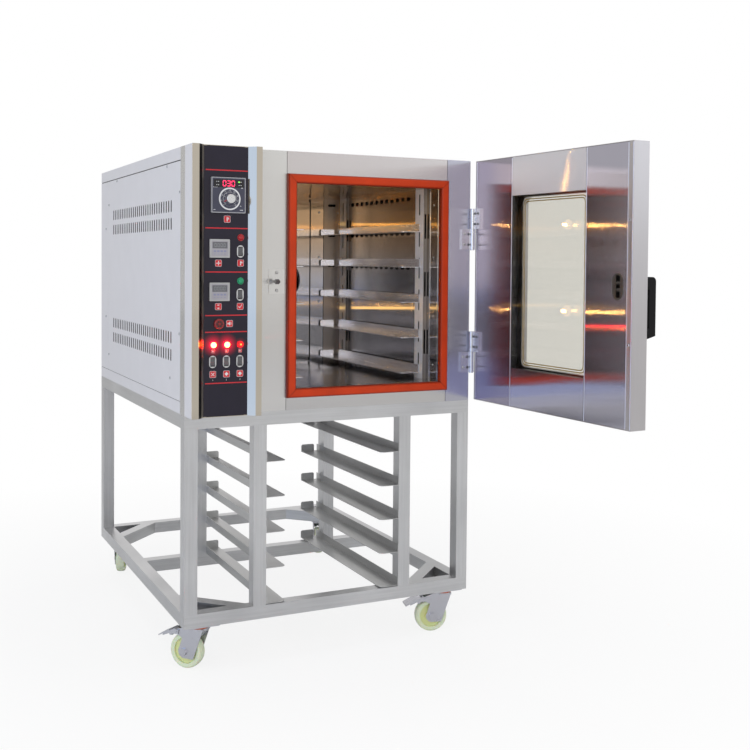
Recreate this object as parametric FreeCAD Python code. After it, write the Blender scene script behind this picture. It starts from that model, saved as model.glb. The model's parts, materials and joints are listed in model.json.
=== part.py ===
import FreeCAD, Part
import math
import os

Vector = FreeCAD.Vector
Rotation = FreeCAD.Rotation
Placement = FreeCAD.Placement

# Driving dimensions in millimetres.
# x runs right from the body's left face, y back from the front plane, z up from the floor.
# Names that end in _UP are heights above the body's underside, unless their comment says otherwise.

# Whole oven
BODY_W = 900.0
BODY_D = 1100.0
BODY_H = 738.0
STAND_H = 724.0
SHEET = 1.5
SEAM = 1.4
PART_GAP = 0.3
RUN_GAP = 0.05
CUT_PAST = 1.0
TINY = 1e-6

# Stand of square tube
TUBE = 38.0
TUBE_WALL = 1.5
INNER_POST_X = 201.0
MID_RAIL_Y = 575.0
BRACE_LEG = 98.0

# Tray slides in the stand
SLIDE_COUNT = 5
SLIDE_PITCH = 101.5
SLIDE_LIFT = 2.0
SLIDE_WEB = 24.0
SLIDE_FLANGE = 60.0
SLIDE_LENGTH = 636.0
SLIDE_STOP = 25.0
SLIDE_STOP_INSET = 12.0
SLIDE_CORNER = 14.0
STOP_ROUND = 6.0

# Casters
CASTER_INSET_X = 58.0
CASTER_INSET_Y = 48.0
CASTER_TRAIL = 38.0
CASTER_PLATE_L = 100.0
CASTER_PLATE_W = 85.0
CASTER_PLATE_T = 4.0
CASTER_PLATE_ROUND = 8.5
WHEEL_R = 50.0
WHEEL_W = 30.0
WHEEL_TOP_GAP = 13.7
HUB_R = 17.0
RIM_R = 36.0
RIM_STEP = 2.0
WHEEL_WEB = 15.0
TREAD_SHOULDER = 5.0
TREAD_CROWN = 1.5
AXLE_R = 5.0
AXLE_HEAD_R = 10.5
AXLE_HEAD_H = 5.0
FORK_T = 2.5
FORK_SIDE_GAP = 2.0
FORK_END_R = 19.0
FORK_LEAD = 30.0
FORK_WEB_T = 4.0
FORK_WEB_FOOT = 42.0
CROWN_T = 6.0
CROWN_LEAD = 24.0
CROWN_TAIL = 34.0
RACE_R = 26.0
RACE_H = 10.0
KING_PIN_R = 6.0
KING_NUT_R = 9.6
KING_NUT_H = 6.0
PEDAL_RISE = 9.1
PEDAL_BEARING = 66.0
PEDAL_PIN_R = 3.0
PEDAL_PIN_PROUD = 2.0
PEDAL_EAR_R = 6.6
PEDAL_ARM_FOOT = 35.0
PEDAL_T = 2.5
# Outlines of the brake pedal, as (u, z) from its pivot
PEDAL_ARM = ((-8.0, 5.0), (6.0, 8.0), (46.0, -10.0), (46.0, -17.0), (24.0, -8.0), (-6.0, -7.0))
PEDAL_TREAD = ((24.0, 2.0), (60.0, -16.0), (60.0, -19.5), (24.0, -1.5))
PEDAL_SHOE = ((12.0, 5.4), (27.0, -1.0), (22.0, -12.0), (14.0, -12.0))
# Bearing of each wheel from its swivel, in degrees from +x
CASTERS = {"fl": 130.0, "fr": 166.0, "bl": 70.0, "br": 250.0}
BRAKED = ("fl", "fr")

# Outer casing
FRAME_RETURN = 43.0
SKIRT_BOTTOM = 34.0
SKIRT_TOP = 35.0
TOP_SEAM = 3.0
SKIRT_LIP = 18.0
BACK_WRAP = 114.0
LOUVRE_COUNT = 29
LOUVRE_W = 11.0
LOUVRE_H = 35.0
LOUVRE_FRONT_GAP = 97.2
LOUVRE_REAR_GAP = 88.2
# Rows of louvre slots, above the body's underside and below its top
LOUVRE_ROWS_LOW = (156.0, 206.0)
LOUVRE_ROWS_HIGH = (209.0, 159.0)
BACK_VENT_COUNT = 14
BACK_VENT_PITCH = 16.0
BACK_VENT_W = 6.0
BACK_VENT_H = 60.0
SCREW_R = 4.0
SCREW_H = 2.0
SCREW_BEVEL = 0.9
SCREW_EDGE = 9.0
# Screws of the side panels: from the panel's front or rear edge, then from the body's top or underside
SIDE_SCREWS = (("front", 141.2, "top", 44.0), ("front", 7.2, "top", 124.0), ("front", 7.2, "bottom", 222.0),
               ("front", 104.2, "bottom", 90.0), ("rear", 144.2, "top", 44.0), ("rear", 15.2, "top", 121.0),
               ("rear", 15.2, "bottom", 90.0), ("rear", -32.8, "top", 204.0),
               ("rear", -32.8, "bottom", 222.0))
BACK_SCREW_X = 45.0

# Front frame
COLUMN_W = 198.0
STILE_LEFT = 98.0
STILE_RIGHT = 82.0
RAIL_TOP = 64.0
RAIL_BOTTOM = 36.0
WIRING_INSET = 4.0

# Control column and panel
TRIM_LEFT = 20.0
TRIM_RIGHT = 17.0
BEVEL = 18.0
PANEL_T = 3.0
PANEL_MARGIN = 1.0
PANEL_LAP = 9.0
CONTROL_SIZE = 96.0
CONTROL_X = 104.9
CONTROL_UP = 603.4
CONTROL_PROUD = 8.0
CONTROL_DEEP = 66.0
CONTROL_LIP = 3.0
CONTROL_ROUND = 2.0
DIAL_RIGHT = 2.4
DIAL_DOWN = 10.1
DIAL_R = 30.5
DIAL_PROUD = 2.0
KNOB_R = 12.3
KNOB_L = 14.0
KNOB_ROUND = 1.5
KNOB_SKIRT_R = 20.0
KNOB_SKIRT_T = 1.2
SPINDLE_R = 3.0
SPINDLE_L = 7.0
TIMER_W = 56.0
TIMER_H = 50.0
TIMER_PROUD = 7.0
TIMER_DEEP = 40.0
TIMER_LIP = 3.0
TIMER_ROUND = 1.8
TIMER_X = 81.2
TIMER_UP = (458.8, 341.3)
LAMP_R = 7.5
LAMP_FLANGE_R = 9.5
LAMP_FLANGE_T = 2.0
LAMP_PROUD = 7.0
LAMP_DEEP = 21.0
LAMP_ROUND = 4.2
# Signal lamps and rocker switches, as (x, height above the body's underside)
LAMPS = ((142.0, 489.4), (141.6, 370.9), (65.3, 197.0), (103.6, 197.0), (141.9, 197.0))
ROCKERS = ((140.7, 451.3), (140.1, 333.3), (63.1, 151.2), (101.7, 151.2), (140.2, 151.2))
BUZZER_R = 14.5
BUZZER_BODY_R = 11.6
BUZZER_PROUD = 7.0
BUZZER_DEEP = 22.0
BUZZER_ROUND = 3.5
BUZZER_X = 80.9
BUZZER_UP = 253.8
BEZEL_W = 20.0
BEZEL_H = 33.5
BEZEL_PROUD = 3.0
BEZEL_DEEP = 18.0
BEZEL_LIP = 1.25
ROCKER_W = 12.8
ROCKER_R = 12.6
ROCKER_TIP = 3.0
ROCKER_DIP = 2.6
ROCKER_BACK = 6.0
ROCKER_TILT = 10.0

# Oven cavity
GASKET_W = 26.5
GASKET_H = 16.4
GASKET_ROUND = 7.0
GASKET_OVERHANG = 1.0
CAVITY_TOP_RISE = 4.0
DUCT_W = 20.0
CAVITY_D = 752.0
CHAMBER_D = 110.0
FAN_HOLE_R = 78.0
FAN_COVER_W = 228.0
FAN_COVER_EDGE = 14.0
FAN_COVER_DEEP = 10.0
INSULATION_SIDE = 52.0
INSULATION_BACK = 60.0
UPRIGHT_W = 54.0
UPRIGHT_DEEP = 12.0
UPRIGHT_FRONT_Y = 80.0
UPRIGHT_REAR_Y = 664.0
UPRIGHT_SLOT_W = 8.0
UPRIGHT_SLOT_H = 66.0
UPRIGHT_SLOT_COUNT = 6
UPRIGHT_SLOT_INSET = 47.0
FLANGE_SLOT_W = 6.0
FLANGE_SLOT_H = 77.0
FLANGE_SLOT_COUNT = 3
FLANGE_SLOT_INSET = 115.0
RAIL_COUNT = 5
RAIL_PITCH = 110.0
RAIL_FIRST = 16.5
RAIL_WEB = 26.0
RAIL_FLANGE = 64.0
RAIL_Y = 104.0
RAIL_REAR_GAP = 8.0
RAIL_STOP = 22.0
DUCT_HOLE_W = 25.0
DUCT_HOLE_H = 13.0
DUCT_HOLE_COUNT = 13
DUCT_HOLE_PITCH = 39.0
DUCT_HOLE_Y = 205.0
DUCT_HOLE_DROP = 2.0
OUTLET_W = 30.0
OUTLET_H = 9.0
OUTLET_INSET = 29.5
CAVITY_LAMP_Y = 227.0
# Heights of the cavity lamps above the cavity floor
CAVITY_LAMP_UP = (192.5, 499.5)
CAVITY_LAMP_R = 15.0
CAVITY_LAMP_FLANGE_R = 20.0
CAVITY_LAMP_FLANGE_T = 4.0
CAVITY_LAMP_PROUD = 16.0
CAVITY_LAMP_ROUND = 5.0

# Fan, motor and heater
FAN_R = 140.0
FAN_DEEP = 62.0
FAN_EYE_R = 95.0
FAN_BLADES = 14
FAN_BLADE_IN = 84.0
FAN_BLADE_OUT = 134.0
FAN_LEAN = 35.0
FAN_HUB_R = 17.6
FAN_HUB_L = 37.0
FAN_CLEAR = 18.0
SHAFT_R = 8.0
SHAFT_HOLE_R = 12.0
SHAFT_IN_MOTOR = 84.0
MOTOR_R = 75.0
MOTOR_L = 140.0
MOTOR_PLATE = 180.0
MOTOR_PLATE_T = 4.0
MOTOR_ROD_R = 5.0
MOTOR_ROD_INSET = 15.0
HEATER_R = 168.0
HEATER_TUBE_R = 4.5
HEATER_STEP = 22.0
HEATER_LEG_ANGLE = 90.0
HEATER_BEND_R = 12.0
# Half the distance between the two legs of the front ring and of the back ring
HEATER_LEG_SPREAD = (9.0, 27.0)

# Door
DOOR_GAP = 17.0
DOOR_T = 51.0
DOOR_SIDE_GAP = 3.0
DOOR_OPEN = 93.0
DOOR_FLANGE_FREE = 18.0
DOOR_FLANGE_HINGE = 4.0
# Window, from the door's hinge edge and from its lower edge
WINDOW_S0 = 188.0
WINDOW_W = 329.0
WINDOW_LOW = 115.0
WINDOW_H = 504.0
PANE_T = 5.0
PANE_LAP = 6.0
SPACER_DEEP = 20.5
OUTER_SIDE_INSET = 18.0
OUTER_END_INSET = 4.0
OUTER_ROUND = 20.0
HINGE_OUT = 4.0
HINGE_KNUCKLE_R = 8.0
HINGE_PIN_R = 4.0
HINGE_CAP_R = 6.5
HINGE_CAP_H = 2.0
HINGE_LEAF_H = 62.5
HINGE_LEAF_W = 32.0
HINGE_LEAF_T = 7.0
HINGE_LEAF_GAP = 0.5
HINGE_UP = (87.5, 465.5)
HINGE_SCREW_STEP = 32.0
# Handle, from the door's free edge and from its lower edge
HANDLE_IN = 32.0
HANDLE_W = 28.0
HANDLE_LOW = 226.0
HANDLE_L = 164.0
HANDLE_OUT = 46.0
HANDLE_BAR = 22.0
HANDLE_FOOT = 32.0
HANDLE_ROUND = 12.0

# Roller catch and striker
CATCH_IN = 58.0
CATCH_UP = 368.0
CATCH_HOLE_W = 44.0
CATCH_HOLE_H = 70.0
CATCH_WALL = 2.0
CATCH_HALF_H = 31.0
CATCH_DEEP = 27.0
CATCH_WING = 8.0
ROLLER_R = 5.0
ROLLER_L = 14.0
ROLLER_PIN_R = 2.0
ROLLER_TRAVEL = 4.0
ROLLER_SETBACK = 7.0
STRIKER_PLATE_W = 46.0
STRIKER_PLATE_H = 70.0
STRIKER_PLATE_T = 3.0
STRIKER_LAP = 14.0
STRIKER_W = 12.0
STRIKER_NECK = 7.0
STRIKER_HEAD = 14.0
STRIKER_TIP = 12.0

# Cable gland
GLAND_X = 160.0
GLAND_UP = 86.0
GLAND_R = 13.0
GLAND_SHANK_R = 9.75
GLAND_SHANK_L = 14.5
GLAND_HEX_R = 15.6
GLAND_HEX_H = 8.8
GLAND_NUT_H = 6.5
GLAND_BORE_R = 6.0
GLAND_L = 22.0

# Sizes that follow from the driving dimensions
BODY_TOP = STAND_H + BODY_H
CROWN_BOTTOM = 2 * WHEEL_R + WHEEL_TOP_GAP
CROWN_TOP = CROWN_BOTTOM + CROWN_T
RACE_BOTTOM = CROWN_TOP + PART_GAP
CASTER_H = RACE_BOTTOM + RACE_H + CASTER_PLATE_T
LOW_TOP = CASTER_H + TUBE
TOP_BOTTOM = STAND_H - TUBE
FORK_IN = WHEEL_W / 2 + FORK_SIDE_GAP
FORK_OUT = FORK_IN + FORK_T
PEDAL_PIVOT_U = CASTER_TRAIL + (WHEEL_R + PEDAL_RISE) * math.cos(math.radians(PEDAL_BEARING))
PEDAL_PIVOT_Z = WHEEL_R + (WHEEL_R + PEDAL_RISE) * math.sin(math.radians(PEDAL_BEARING))
PANEL_LOW = STAND_H + SKIRT_BOTTOM + SEAM
PANEL_HIGH = BODY_TOP - SKIRT_TOP - TOP_SEAM
PANEL_FRONT = FRAME_RETURN + SEAM
PANEL_BACK = BODY_D - BACK_WRAP - SEAM
LOUVRE_FIRST = PANEL_FRONT + LOUVRE_FRONT_GAP
LOUVRE_PITCH = (PANEL_BACK - LOUVRE_REAR_GAP - LOUVRE_FIRST) / (LOUVRE_COUNT - 1)
LOUVRE_Z = [STAND_H + up for up in LOUVRE_ROWS_LOW] + [BODY_TOP - down for down in LOUVRE_ROWS_HIGH]
COLUMN_PROUD = DOOR_GAP + DOOR_T
PANEL_Y = BEVEL - COLUMN_PROUD
PANEL_X0 = TRIM_LEFT + BEVEL
PANEL_X1 = COLUMN_W - TRIM_RIGHT - BEVEL
CONTROL_Z = STAND_H + CONTROL_UP
DIAL_X = CONTROL_X + DIAL_RIGHT
DIAL_Z = CONTROL_Z - DIAL_DOWN
DIAL_Y = PANEL_Y - CONTROL_PROUD - DIAL_PROUD
BUZZER_Z = STAND_H + BUZZER_UP
ROCKER_HOLE_W = ROCKER_W + 2 * PART_GAP
ROCKER_HOLE_H = 2 * (ROCKER_R + PART_GAP)
ROCKER_PIVOT_Y = PANEL_Y + PANEL_T
OPEN_X0 = COLUMN_W + STILE_LEFT
OPEN_X1 = BODY_W - STILE_RIGHT
OPEN_Z0 = STAND_H + RAIL_BOTTOM
OPEN_Z1 = BODY_TOP - RAIL_TOP
DUCT_X0 = OPEN_X0 + GASKET_W - GASKET_OVERHANG
DUCT_X1 = OPEN_X1 - GASKET_W + GASKET_OVERHANG
CAVITY_Z0 = OPEN_Z0 + GASKET_W
CAVITY_Z1 = OPEN_Z1 - GASKET_W + CAVITY_TOP_RISE
CAVITY_MID_X = (DUCT_X0 + DUCT_X1) / 2
CAVITY_MID_Z = (CAVITY_Z0 + CAVITY_Z1) / 2
LINER_X0 = DUCT_X0 - SHEET - DUCT_W
LINER_X1 = DUCT_X1 + SHEET + DUCT_W
LINER_BACK = CAVITY_D + CHAMBER_D
INSULATION_END = LINER_BACK + SHEET + INSULATION_BACK
FAN_BACK = LINER_BACK - FAN_CLEAR
HINGE_X = BODY_W + HINGE_OUT
HINGE_Y = -DOOR_GAP / 2
HINGE_Z = tuple(STAND_H + up for up in HINGE_UP)
DOOR_X0 = COLUMN_W + DOOR_SIDE_GAP
DOOR_X1 = BODY_W
DOOR_Z0 = STAND_H + DOOR_SIDE_GAP
DOOR_Z1 = BODY_TOP - SHEET
DOOR_IN = -DOOR_GAP
DOOR_OUT = -COLUMN_PROUD
WINDOW_X1 = DOOR_X1 - WINDOW_S0
WINDOW_X0 = WINDOW_X1 - WINDOW_W
WINDOW_Z0 = DOOR_Z0 + WINDOW_LOW
WINDOW_Z1 = WINDOW_Z0 + WINDOW_H
OUTER_X0 = WINDOW_X0 + OUTER_SIDE_INSET
OUTER_X1 = WINDOW_X1 - OUTER_SIDE_INSET
OUTER_Z0 = WINDOW_Z0 + OUTER_END_INSET
OUTER_Z1 = WINDOW_Z1 - OUTER_END_INSET
INNER_PANE_Y = DOOR_IN - SHEET
SPACER_Y = INNER_PANE_Y - PANE_T
OUTER_PANE_Y = SPACER_Y - SPACER_DEEP
CATCH_X = COLUMN_W + CATCH_IN
CATCH_Z = STAND_H + CATCH_UP
ROLLER_Y = DOOR_IN - ROLLER_SETBACK
ROLLER_REST = STRIKER_NECK / 2 + PART_GAP + ROLLER_R
GLAND_Z = STAND_H + GLAND_UP


# Shape helpers
def box(x0, x1, y0, y1, z0, z1):
    return Part.makeBox(x1 - x0, y1 - y0, z1 - z0, Vector(x0, y0, z0))


def rod(radius, start, end):
    along = Vector(*end).sub(Vector(*start))
    return Part.makeCylinder(radius, along.Length, Vector(*start), along)


def join(first, *others):
    return first.multiFuse(list(others)).removeSplitter()


def mirrored(shape, middle_x):
    return shape.mirror(Vector(middle_x, 0, 0), Vector(1, 0, 0))


def group(solids):
    return Part.makeCompound(list(solids))


def rect_wire(u0, u1, v0, v1):
    corners = [Vector(u0, v0), Vector(u1, v0), Vector(u1, v1), Vector(u0, v1), Vector(u0, v0)]
    return Part.makePolygon(corners)


def round_rect_wire(u0, u1, v0, v1, radius):
    bend = radius * math.sqrt(0.5)
    centres = ((u1 - radius, v1 - radius), (u0 + radius, v1 - radius),
               (u0 + radius, v0 + radius), (u1 - radius, v0 + radius))
    signs = ((1, 1), (-1, 1), (-1, -1), (1, -1))
    arcs = []
    for (cu, cv), (su, sv) in zip(centres, signs):
        side = Vector(cu + su * radius, cv)
        end = Vector(cu, cv + sv * radius)
        middle = Vector(cu + su * bend, cv + sv * bend)
        first, last = (side, end) if su * sv > 0 else (end, side)
        arcs.append((first, middle, last))
    edges = []
    for number, (first, middle, last) in enumerate(arcs):
        edges.append(Part.Arc(first, middle, last).toShape())
        following = arcs[(number + 1) % len(arcs)][0]
        if last.distanceToPoint(following) > TINY:
            edges.append(Part.LineSegment(last, following).toShape())
    return Part.Wire(edges)


def obround_wire(cu, cv, width, height):
    radius = min(width, height) / 2
    return round_rect_wire(cu - width / 2, cu + width / 2, cv - height / 2, cv + height / 2, radius)


def circle_wire(cu, cv, radius):
    return Part.Wire(Part.makeCircle(radius, Vector(cu, cv)))


def plate(outline, holes, thickness):
    face = Part.makeFace([outline] + list(holes), "Part::FaceMakerBullseye")
    return face.extrude(Vector(0, 0, thickness))


def on_xz(shape, y_front, thickness):
    """Stand a flat plate up in the XZ plane, from y_front back."""
    shape.Placement = Placement(Vector(0, y_front + thickness, 0), Rotation(Vector(1, 0, 0), 90))
    return shape


def on_yz(shape, x_left):
    """Stand a flat plate up in the YZ plane, from x_left to the right."""
    shape.Placement = Placement(Vector(x_left, 0, 0), Rotation(Vector(1, 1, 1), 120))
    return shape


def xz_plate(outline, holes, y_front, thickness):
    return on_xz(plate(outline, holes, thickness), y_front, thickness)


def yz_plate(outline, holes, x_left, thickness):
    return on_yz(plate(outline, holes, thickness), x_left)


def prism_x(points, x0, x1):
    """Extrude a closed (y, z) outline along x."""
    corners = [Vector(x0, y, z) for y, z in points]
    face = Part.Face(Part.makePolygon(corners + corners[:1]))
    return face.extrude(Vector(x1 - x0, 0, 0))


def prism_y(points, y0, y1):
    """Extrude a closed (x, z) outline along y."""
    corners = [Vector(x, y0, z) for x, z in points]
    face = Part.Face(Part.makePolygon(corners + corners[:1]))
    return face.extrude(Vector(0, y1 - y0, 0))


def prism_z(points, z0, z1):
    """Extrude a closed (x, y) outline along z."""
    corners = [Vector(x, y, z0) for x, y in points]
    face = Part.Face(Part.makePolygon(corners + corners[:1]))
    return face.extrude(Vector(0, 0, z1 - z0))


def edges_along(shape, direction):
    picked = []
    for edge in shape.Edges:
        if isinstance(edge.Curve, Part.Line) and abs(abs(edge.Curve.Direction.dot(direction)) - 1) < TINY:
            picked.append(edge)
    return picked


def rim_at(shape, centre):
    """The circular edge of a rod around the given centre."""
    return [edge for edge in shape.Edges if isinstance(edge.Curve, Part.Circle)
            and edge.Curve.Center.distanceToPoint(Vector(*centre)) < TINY]


def centred_wire(cu, cv, width, height):
    return rect_wire(cu - width / 2, cu + width / 2, cv - height / 2, cv + height / 2)


def panel_block(x, z, width, height, y0, y1):
    """Box centred on a point of the control panel, between two depths."""
    return box(x - width / 2, x + width / 2, y0, y1, z - height / 2, z + height / 2)


def tube(x0, x1, y0, y1, z0, z1, along):
    """Square tube filling a box, open at both ends of the named axis."""
    wall = {axis: 0.0 if axis == along else TUBE_WALL for axis in "xyz"}
    inner = box(x0 + wall["x"], x1 - wall["x"], y0 + wall["y"], y1 - wall["y"],
                z0 + wall["z"], z1 - wall["z"])
    return box(x0, x1, y0, y1, z0, z1).cut(inner)


# Stand
def stand_posts():
    spots = []
    for x in (0.0, BODY_W - TUBE):
        for y in (0.0, BODY_D - TUBE):
            spots.append((x, y))
    for x in (INNER_POST_X, BODY_W - INNER_POST_X - TUBE):
        for y in (0.0, MID_RAIL_Y):
            spots.append((x, y))
    return group(tube(x, x + TUBE, y, y + TUBE, LOW_TOP, TOP_BOTTOM, "z") for x, y in spots)


def mitred_tube(corners, z0, z1):
    """Square tube mitred at both ends; its plan runs outer start, outer end, inner end, inner start."""

    def plan(outer, inner):
        """Corners of the outline at two distances in from the outer side, along the mitres."""
        start = Vector(*corners[0], 0)
        end = Vector(*corners[1], 0)
        at_end = Vector(*corners[2], 0).sub(end).multiply(1 / TUBE)
        at_start = Vector(*corners[3], 0).sub(start).multiply(1 / TUBE)
        points = []
        for origin, along, distance in ((start, at_start, outer), (end, at_end, outer), (end, at_end, inner),
                                        (start, at_start, inner)):
            point = origin.add(Vector(along).multiply(distance))
            points.append((point.x, point.y))
        return points

    bore = prism_z(plan(TUBE_WALL, TUBE - TUBE_WALL), z0 + TUBE_WALL, z1 - TUBE_WALL)
    return prism_z(plan(0.0, TUBE), z0, z1).cut(bore)


def rail_ring(z0, z1):
    """Front, back, side and middle tubes of one level of the stand."""
    far_x = BODY_W - TUBE
    far_y = BODY_D - TUBE
    front = mitred_tube([(0.0, 0.0), (BODY_W, 0.0), (far_x, TUBE), (TUBE, TUBE)], z0, z1)
    left = mitred_tube([(0.0, BODY_D), (0.0, 0.0), (TUBE, TUBE), (TUBE, far_y)], z0, z1)
    middle = tube(TUBE, far_x, MID_RAIL_Y, MID_RAIL_Y + TUBE, z0, z1, "x")
    back = front.mirror(Vector(0, BODY_D / 2, 0), Vector(0, 1, 0))
    return [front, back, left, mirrored(left, BODY_W / 2), middle]


def corner_brace():
    """Diagonal tube across the front left corner of the lower frame."""
    near = TUBE + BRACE_LEG
    far = near + TUBE * math.sqrt(2)
    skin = TUBE_WALL * math.sqrt(2)
    outer = prism_z([(TUBE, near), (TUBE, far), (far, TUBE), (near, TUBE)], CASTER_H, LOW_TOP)
    hollow = [(TUBE, near + skin), (TUBE, far - skin), (far - skin, TUBE), (near + skin, TUBE)]
    return outer.cut(prism_z(hollow, CASTER_H + TUBE_WALL, LOW_TOP - TUBE_WALL))


def four_corners(shape):
    """Repeat a front left shape at all four corners of the stand."""
    left = [shape, shape.mirror(Vector(0, BODY_D / 2, 0), Vector(0, 1, 0))]
    return left + [mirrored(one, BODY_W / 2) for one in left]


def stand_lower_frame():
    return group(rail_ring(CASTER_H, LOW_TOP) + four_corners(corner_brace()))


def angle_rail(x_web, z_bottom, y0, y1, web, flange, stop):
    """Angle runner with a rounded front corner and an upturned rear stop, web on its left."""
    inner = x_web + flange
    flat = box(x_web, inner, y0, y1, z_bottom, z_bottom + SHEET)
    corner = [edge for edge in edges_along(flat, Vector(0, 0, 1))
              if abs(edge.Vertexes[0].X - inner) < TINY and abs(edge.Vertexes[0].Y - y0) < TINY]
    flat = flat.makeFillet(SLIDE_CORNER, corner)
    wall = box(x_web, x_web + SHEET, y0, y1, z_bottom, z_bottom + web)
    lip = box(x_web + SLIDE_STOP_INSET, inner, y1 - SHEET, y1, z_bottom, z_bottom + stop)
    tops = [edge for edge in edges_along(lip, Vector(0, 1, 0))
            if abs(edge.Vertexes[0].Z - z_bottom - stop) < TINY]
    lip = lip.makeFillet(STOP_ROUND, tops)
    return join(flat, wall, lip)


def stand_slides():
    web = INNER_POST_X + TUBE
    first = LOW_TOP + SLIDE_LIFT
    levels = [first + SLIDE_PITCH * number for number in range(SLIDE_COUNT)]
    return [angle_rail(web, z, 0.0, SLIDE_LENGTH, SLIDE_WEB, SLIDE_FLANGE, SLIDE_STOP) for z in levels]


# Casters, built with the swivel axis at the origin and the wheel trailing along +x
def caster_centre(corner):
    x = CASTER_INSET_X if corner[1] == "l" else BODY_W - CASTER_INSET_X
    y = CASTER_INSET_Y if corner[0] == "f" else BODY_D - CASTER_INSET_Y
    return x, y


def placed_caster(shape, corner):
    x, y = caster_centre(corner)
    turned = shape.copy()
    turned.Placement = Placement(Vector(x, y, 0), Rotation(Vector(0, 0, 1), CASTERS[corner]))
    return turned


def caster_plate(corner):
    x, y = caster_centre(corner)
    half_l = CASTER_PLATE_L / 2
    half_w = CASTER_PLATE_W / 2
    slab = box(x - half_l, x + half_l, y - half_w, y + half_w, CASTER_H - CASTER_PLATE_T, CASTER_H)
    slab = slab.makeFillet(CASTER_PLATE_ROUND, edges_along(slab, Vector(0, 0, 1)))
    race = rod(RACE_R, (x, y, RACE_BOTTOM), (x, y, CASTER_H))
    nut_top = CROWN_BOTTOM - 2 * PART_GAP
    pin = rod(KING_PIN_R, (x, y, nut_top - KING_NUT_H), (x, y, RACE_BOTTOM))
    nut = rod(KING_NUT_R, (x, y, nut_top - KING_NUT_H), (x, y, nut_top))
    return join(slab, race, pin, nut)


def fork_cheek(braked):
    """One side of the fork, on the +y side of the wheel."""
    tail = (CROWN_TAIL, CROWN_TOP)
    foot = WHEEL_R - FORK_END_R
    cheek = prism_y([(-CROWN_LEAD, CROWN_TOP), tail, (CASTER_TRAIL + FORK_END_R, WHEEL_R),
                     (CASTER_TRAIL, foot), (CASTER_TRAIL - FORK_LEAD, foot)], FORK_IN, FORK_OUT)
    pieces = [rod(FORK_END_R, (CASTER_TRAIL, FORK_IN, WHEEL_R), (CASTER_TRAIL, FORK_OUT, WHEEL_R))]
    if braked:
        u = PEDAL_PIVOT_U
        z = PEDAL_PIVOT_Z
        arm = [(0.0, CROWN_TOP), tail, (u, z + PEDAL_EAR_R), (u, z - PEDAL_EAR_R),
               (CASTER_TRAIL, WHEEL_R + PEDAL_ARM_FOOT)]
        pieces.append(prism_y(arm, FORK_IN, FORK_OUT))
        pieces.append(rod(PEDAL_EAR_R, (u, FORK_IN, z), (u, FORK_OUT, z)))
    return join(cheek, *pieces)


def across(radius, u, z, half_length):
    """Rod along the wheel's axis, centred on the wheel."""
    return rod(radius, (u, -half_length, z), (u, half_length, z))


def caster_fork(corner):
    braked = corner in BRAKED
    crown = box(-CROWN_LEAD, CROWN_TAIL, -FORK_OUT, FORK_OUT, CROWN_BOTTOM, CROWN_TOP)
    disc = rod(RACE_R, (0, 0, CROWN_BOTTOM), (0, 0, CROWN_TOP))
    right = fork_cheek(braked)
    left = right.mirror(Vector(0, 0, 0), Vector(0, 1, 0))
    foot = WHEEL_R + FORK_WEB_FOOT
    web = prism_y([(-CROWN_LEAD, CROWN_TOP), (FORK_WEB_T - CROWN_LEAD, CROWN_TOP), (0.0, foot),
                   (-FORK_WEB_T, foot)], -FORK_OUT, FORK_OUT)
    fork = join(crown, disc, right, left, web)
    past = FORK_OUT + CUT_PAST
    fork = fork.cut(group([rod(KING_PIN_R + RUN_GAP, (0, 0, 0), (0, 0, CASTER_H)),
                           across(AXLE_R + RUN_GAP, CASTER_TRAIL, WHEEL_R, past)]))
    if braked:
        pin_end = FORK_OUT + 2 * PART_GAP + PEDAL_T + PEDAL_PIN_PROUD
        fork = join(fork, across(PEDAL_PIN_R, PEDAL_PIVOT_U, PEDAL_PIVOT_Z, pin_end))
    return placed_caster(group([fork, axle_bolt()]), corner)


def hexagon(radius, u, z):
    points = []
    for number in range(6):
        angle = math.radians(60 * number)
        points.append((u + radius * math.cos(angle), z + radius * math.sin(angle)))
    return points


def axle_bolt():
    seat = FORK_OUT + RUN_GAP
    end = seat + AXLE_HEAD_H
    shank = across(AXLE_R, CASTER_TRAIL, WHEEL_R, end)
    nut = prism_y(hexagon(AXLE_HEAD_R, CASTER_TRAIL, WHEEL_R), seat, end)
    head = prism_y(hexagon(AXLE_HEAD_R, CASTER_TRAIL, WHEEL_R), -end, -seat)
    return join(shank, nut, head)


def caster_wheel(corner):
    """Wheel turned from a half section, with a raised hub, a thin web and a crowned tread."""
    half = WHEEL_W / 2
    web = WHEEL_WEB / 2
    hub = FORK_IN - PART_GAP
    side = [(AXLE_R + RUN_GAP, hub), (HUB_R, hub), (HUB_R, web), (RIM_R, web), (RIM_R, half - RIM_STEP),
            (WHEEL_R - TREAD_SHOULDER, half), (WHEEL_R - TREAD_CROWN, half - TREAD_SHOULDER / 2),
            (WHEEL_R, half - 2 * TREAD_SHOULDER)]
    profile = side + [(radius, -offset) for radius, offset in reversed(side)]
    corners = [Vector(CASTER_TRAIL + radius, offset, WHEEL_R) for radius, offset in profile]
    face = Part.Face(Part.makePolygon(corners + corners[:1]))
    wheel = face.revolve(Vector(CASTER_TRAIL, 0, WHEEL_R), Vector(0, 1, 0), 360)
    return placed_caster(wheel, corner)


def brake_pedal(corner):
    inner = FORK_OUT + 2 * PART_GAP
    outer = inner + PEDAL_T

    def from_pivot(points, y0, y1):
        return prism_y([(PEDAL_PIVOT_U + u, PEDAL_PIVOT_Z + z) for u, z in points], y0, y1)

    arms = [from_pivot(PEDAL_ARM, inner, outer), from_pivot(PEDAL_ARM, -outer, -inner)]
    pedal = join(*arms, from_pivot(PEDAL_TREAD, -outer, outer), from_pivot(PEDAL_SHOE, -outer, outer))
    pedal = pedal.cut(across(PEDAL_PIN_R + RUN_GAP, PEDAL_PIVOT_U, PEDAL_PIVOT_Z, outer + CUT_PAST))
    return placed_caster(pedal, corner)


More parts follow.
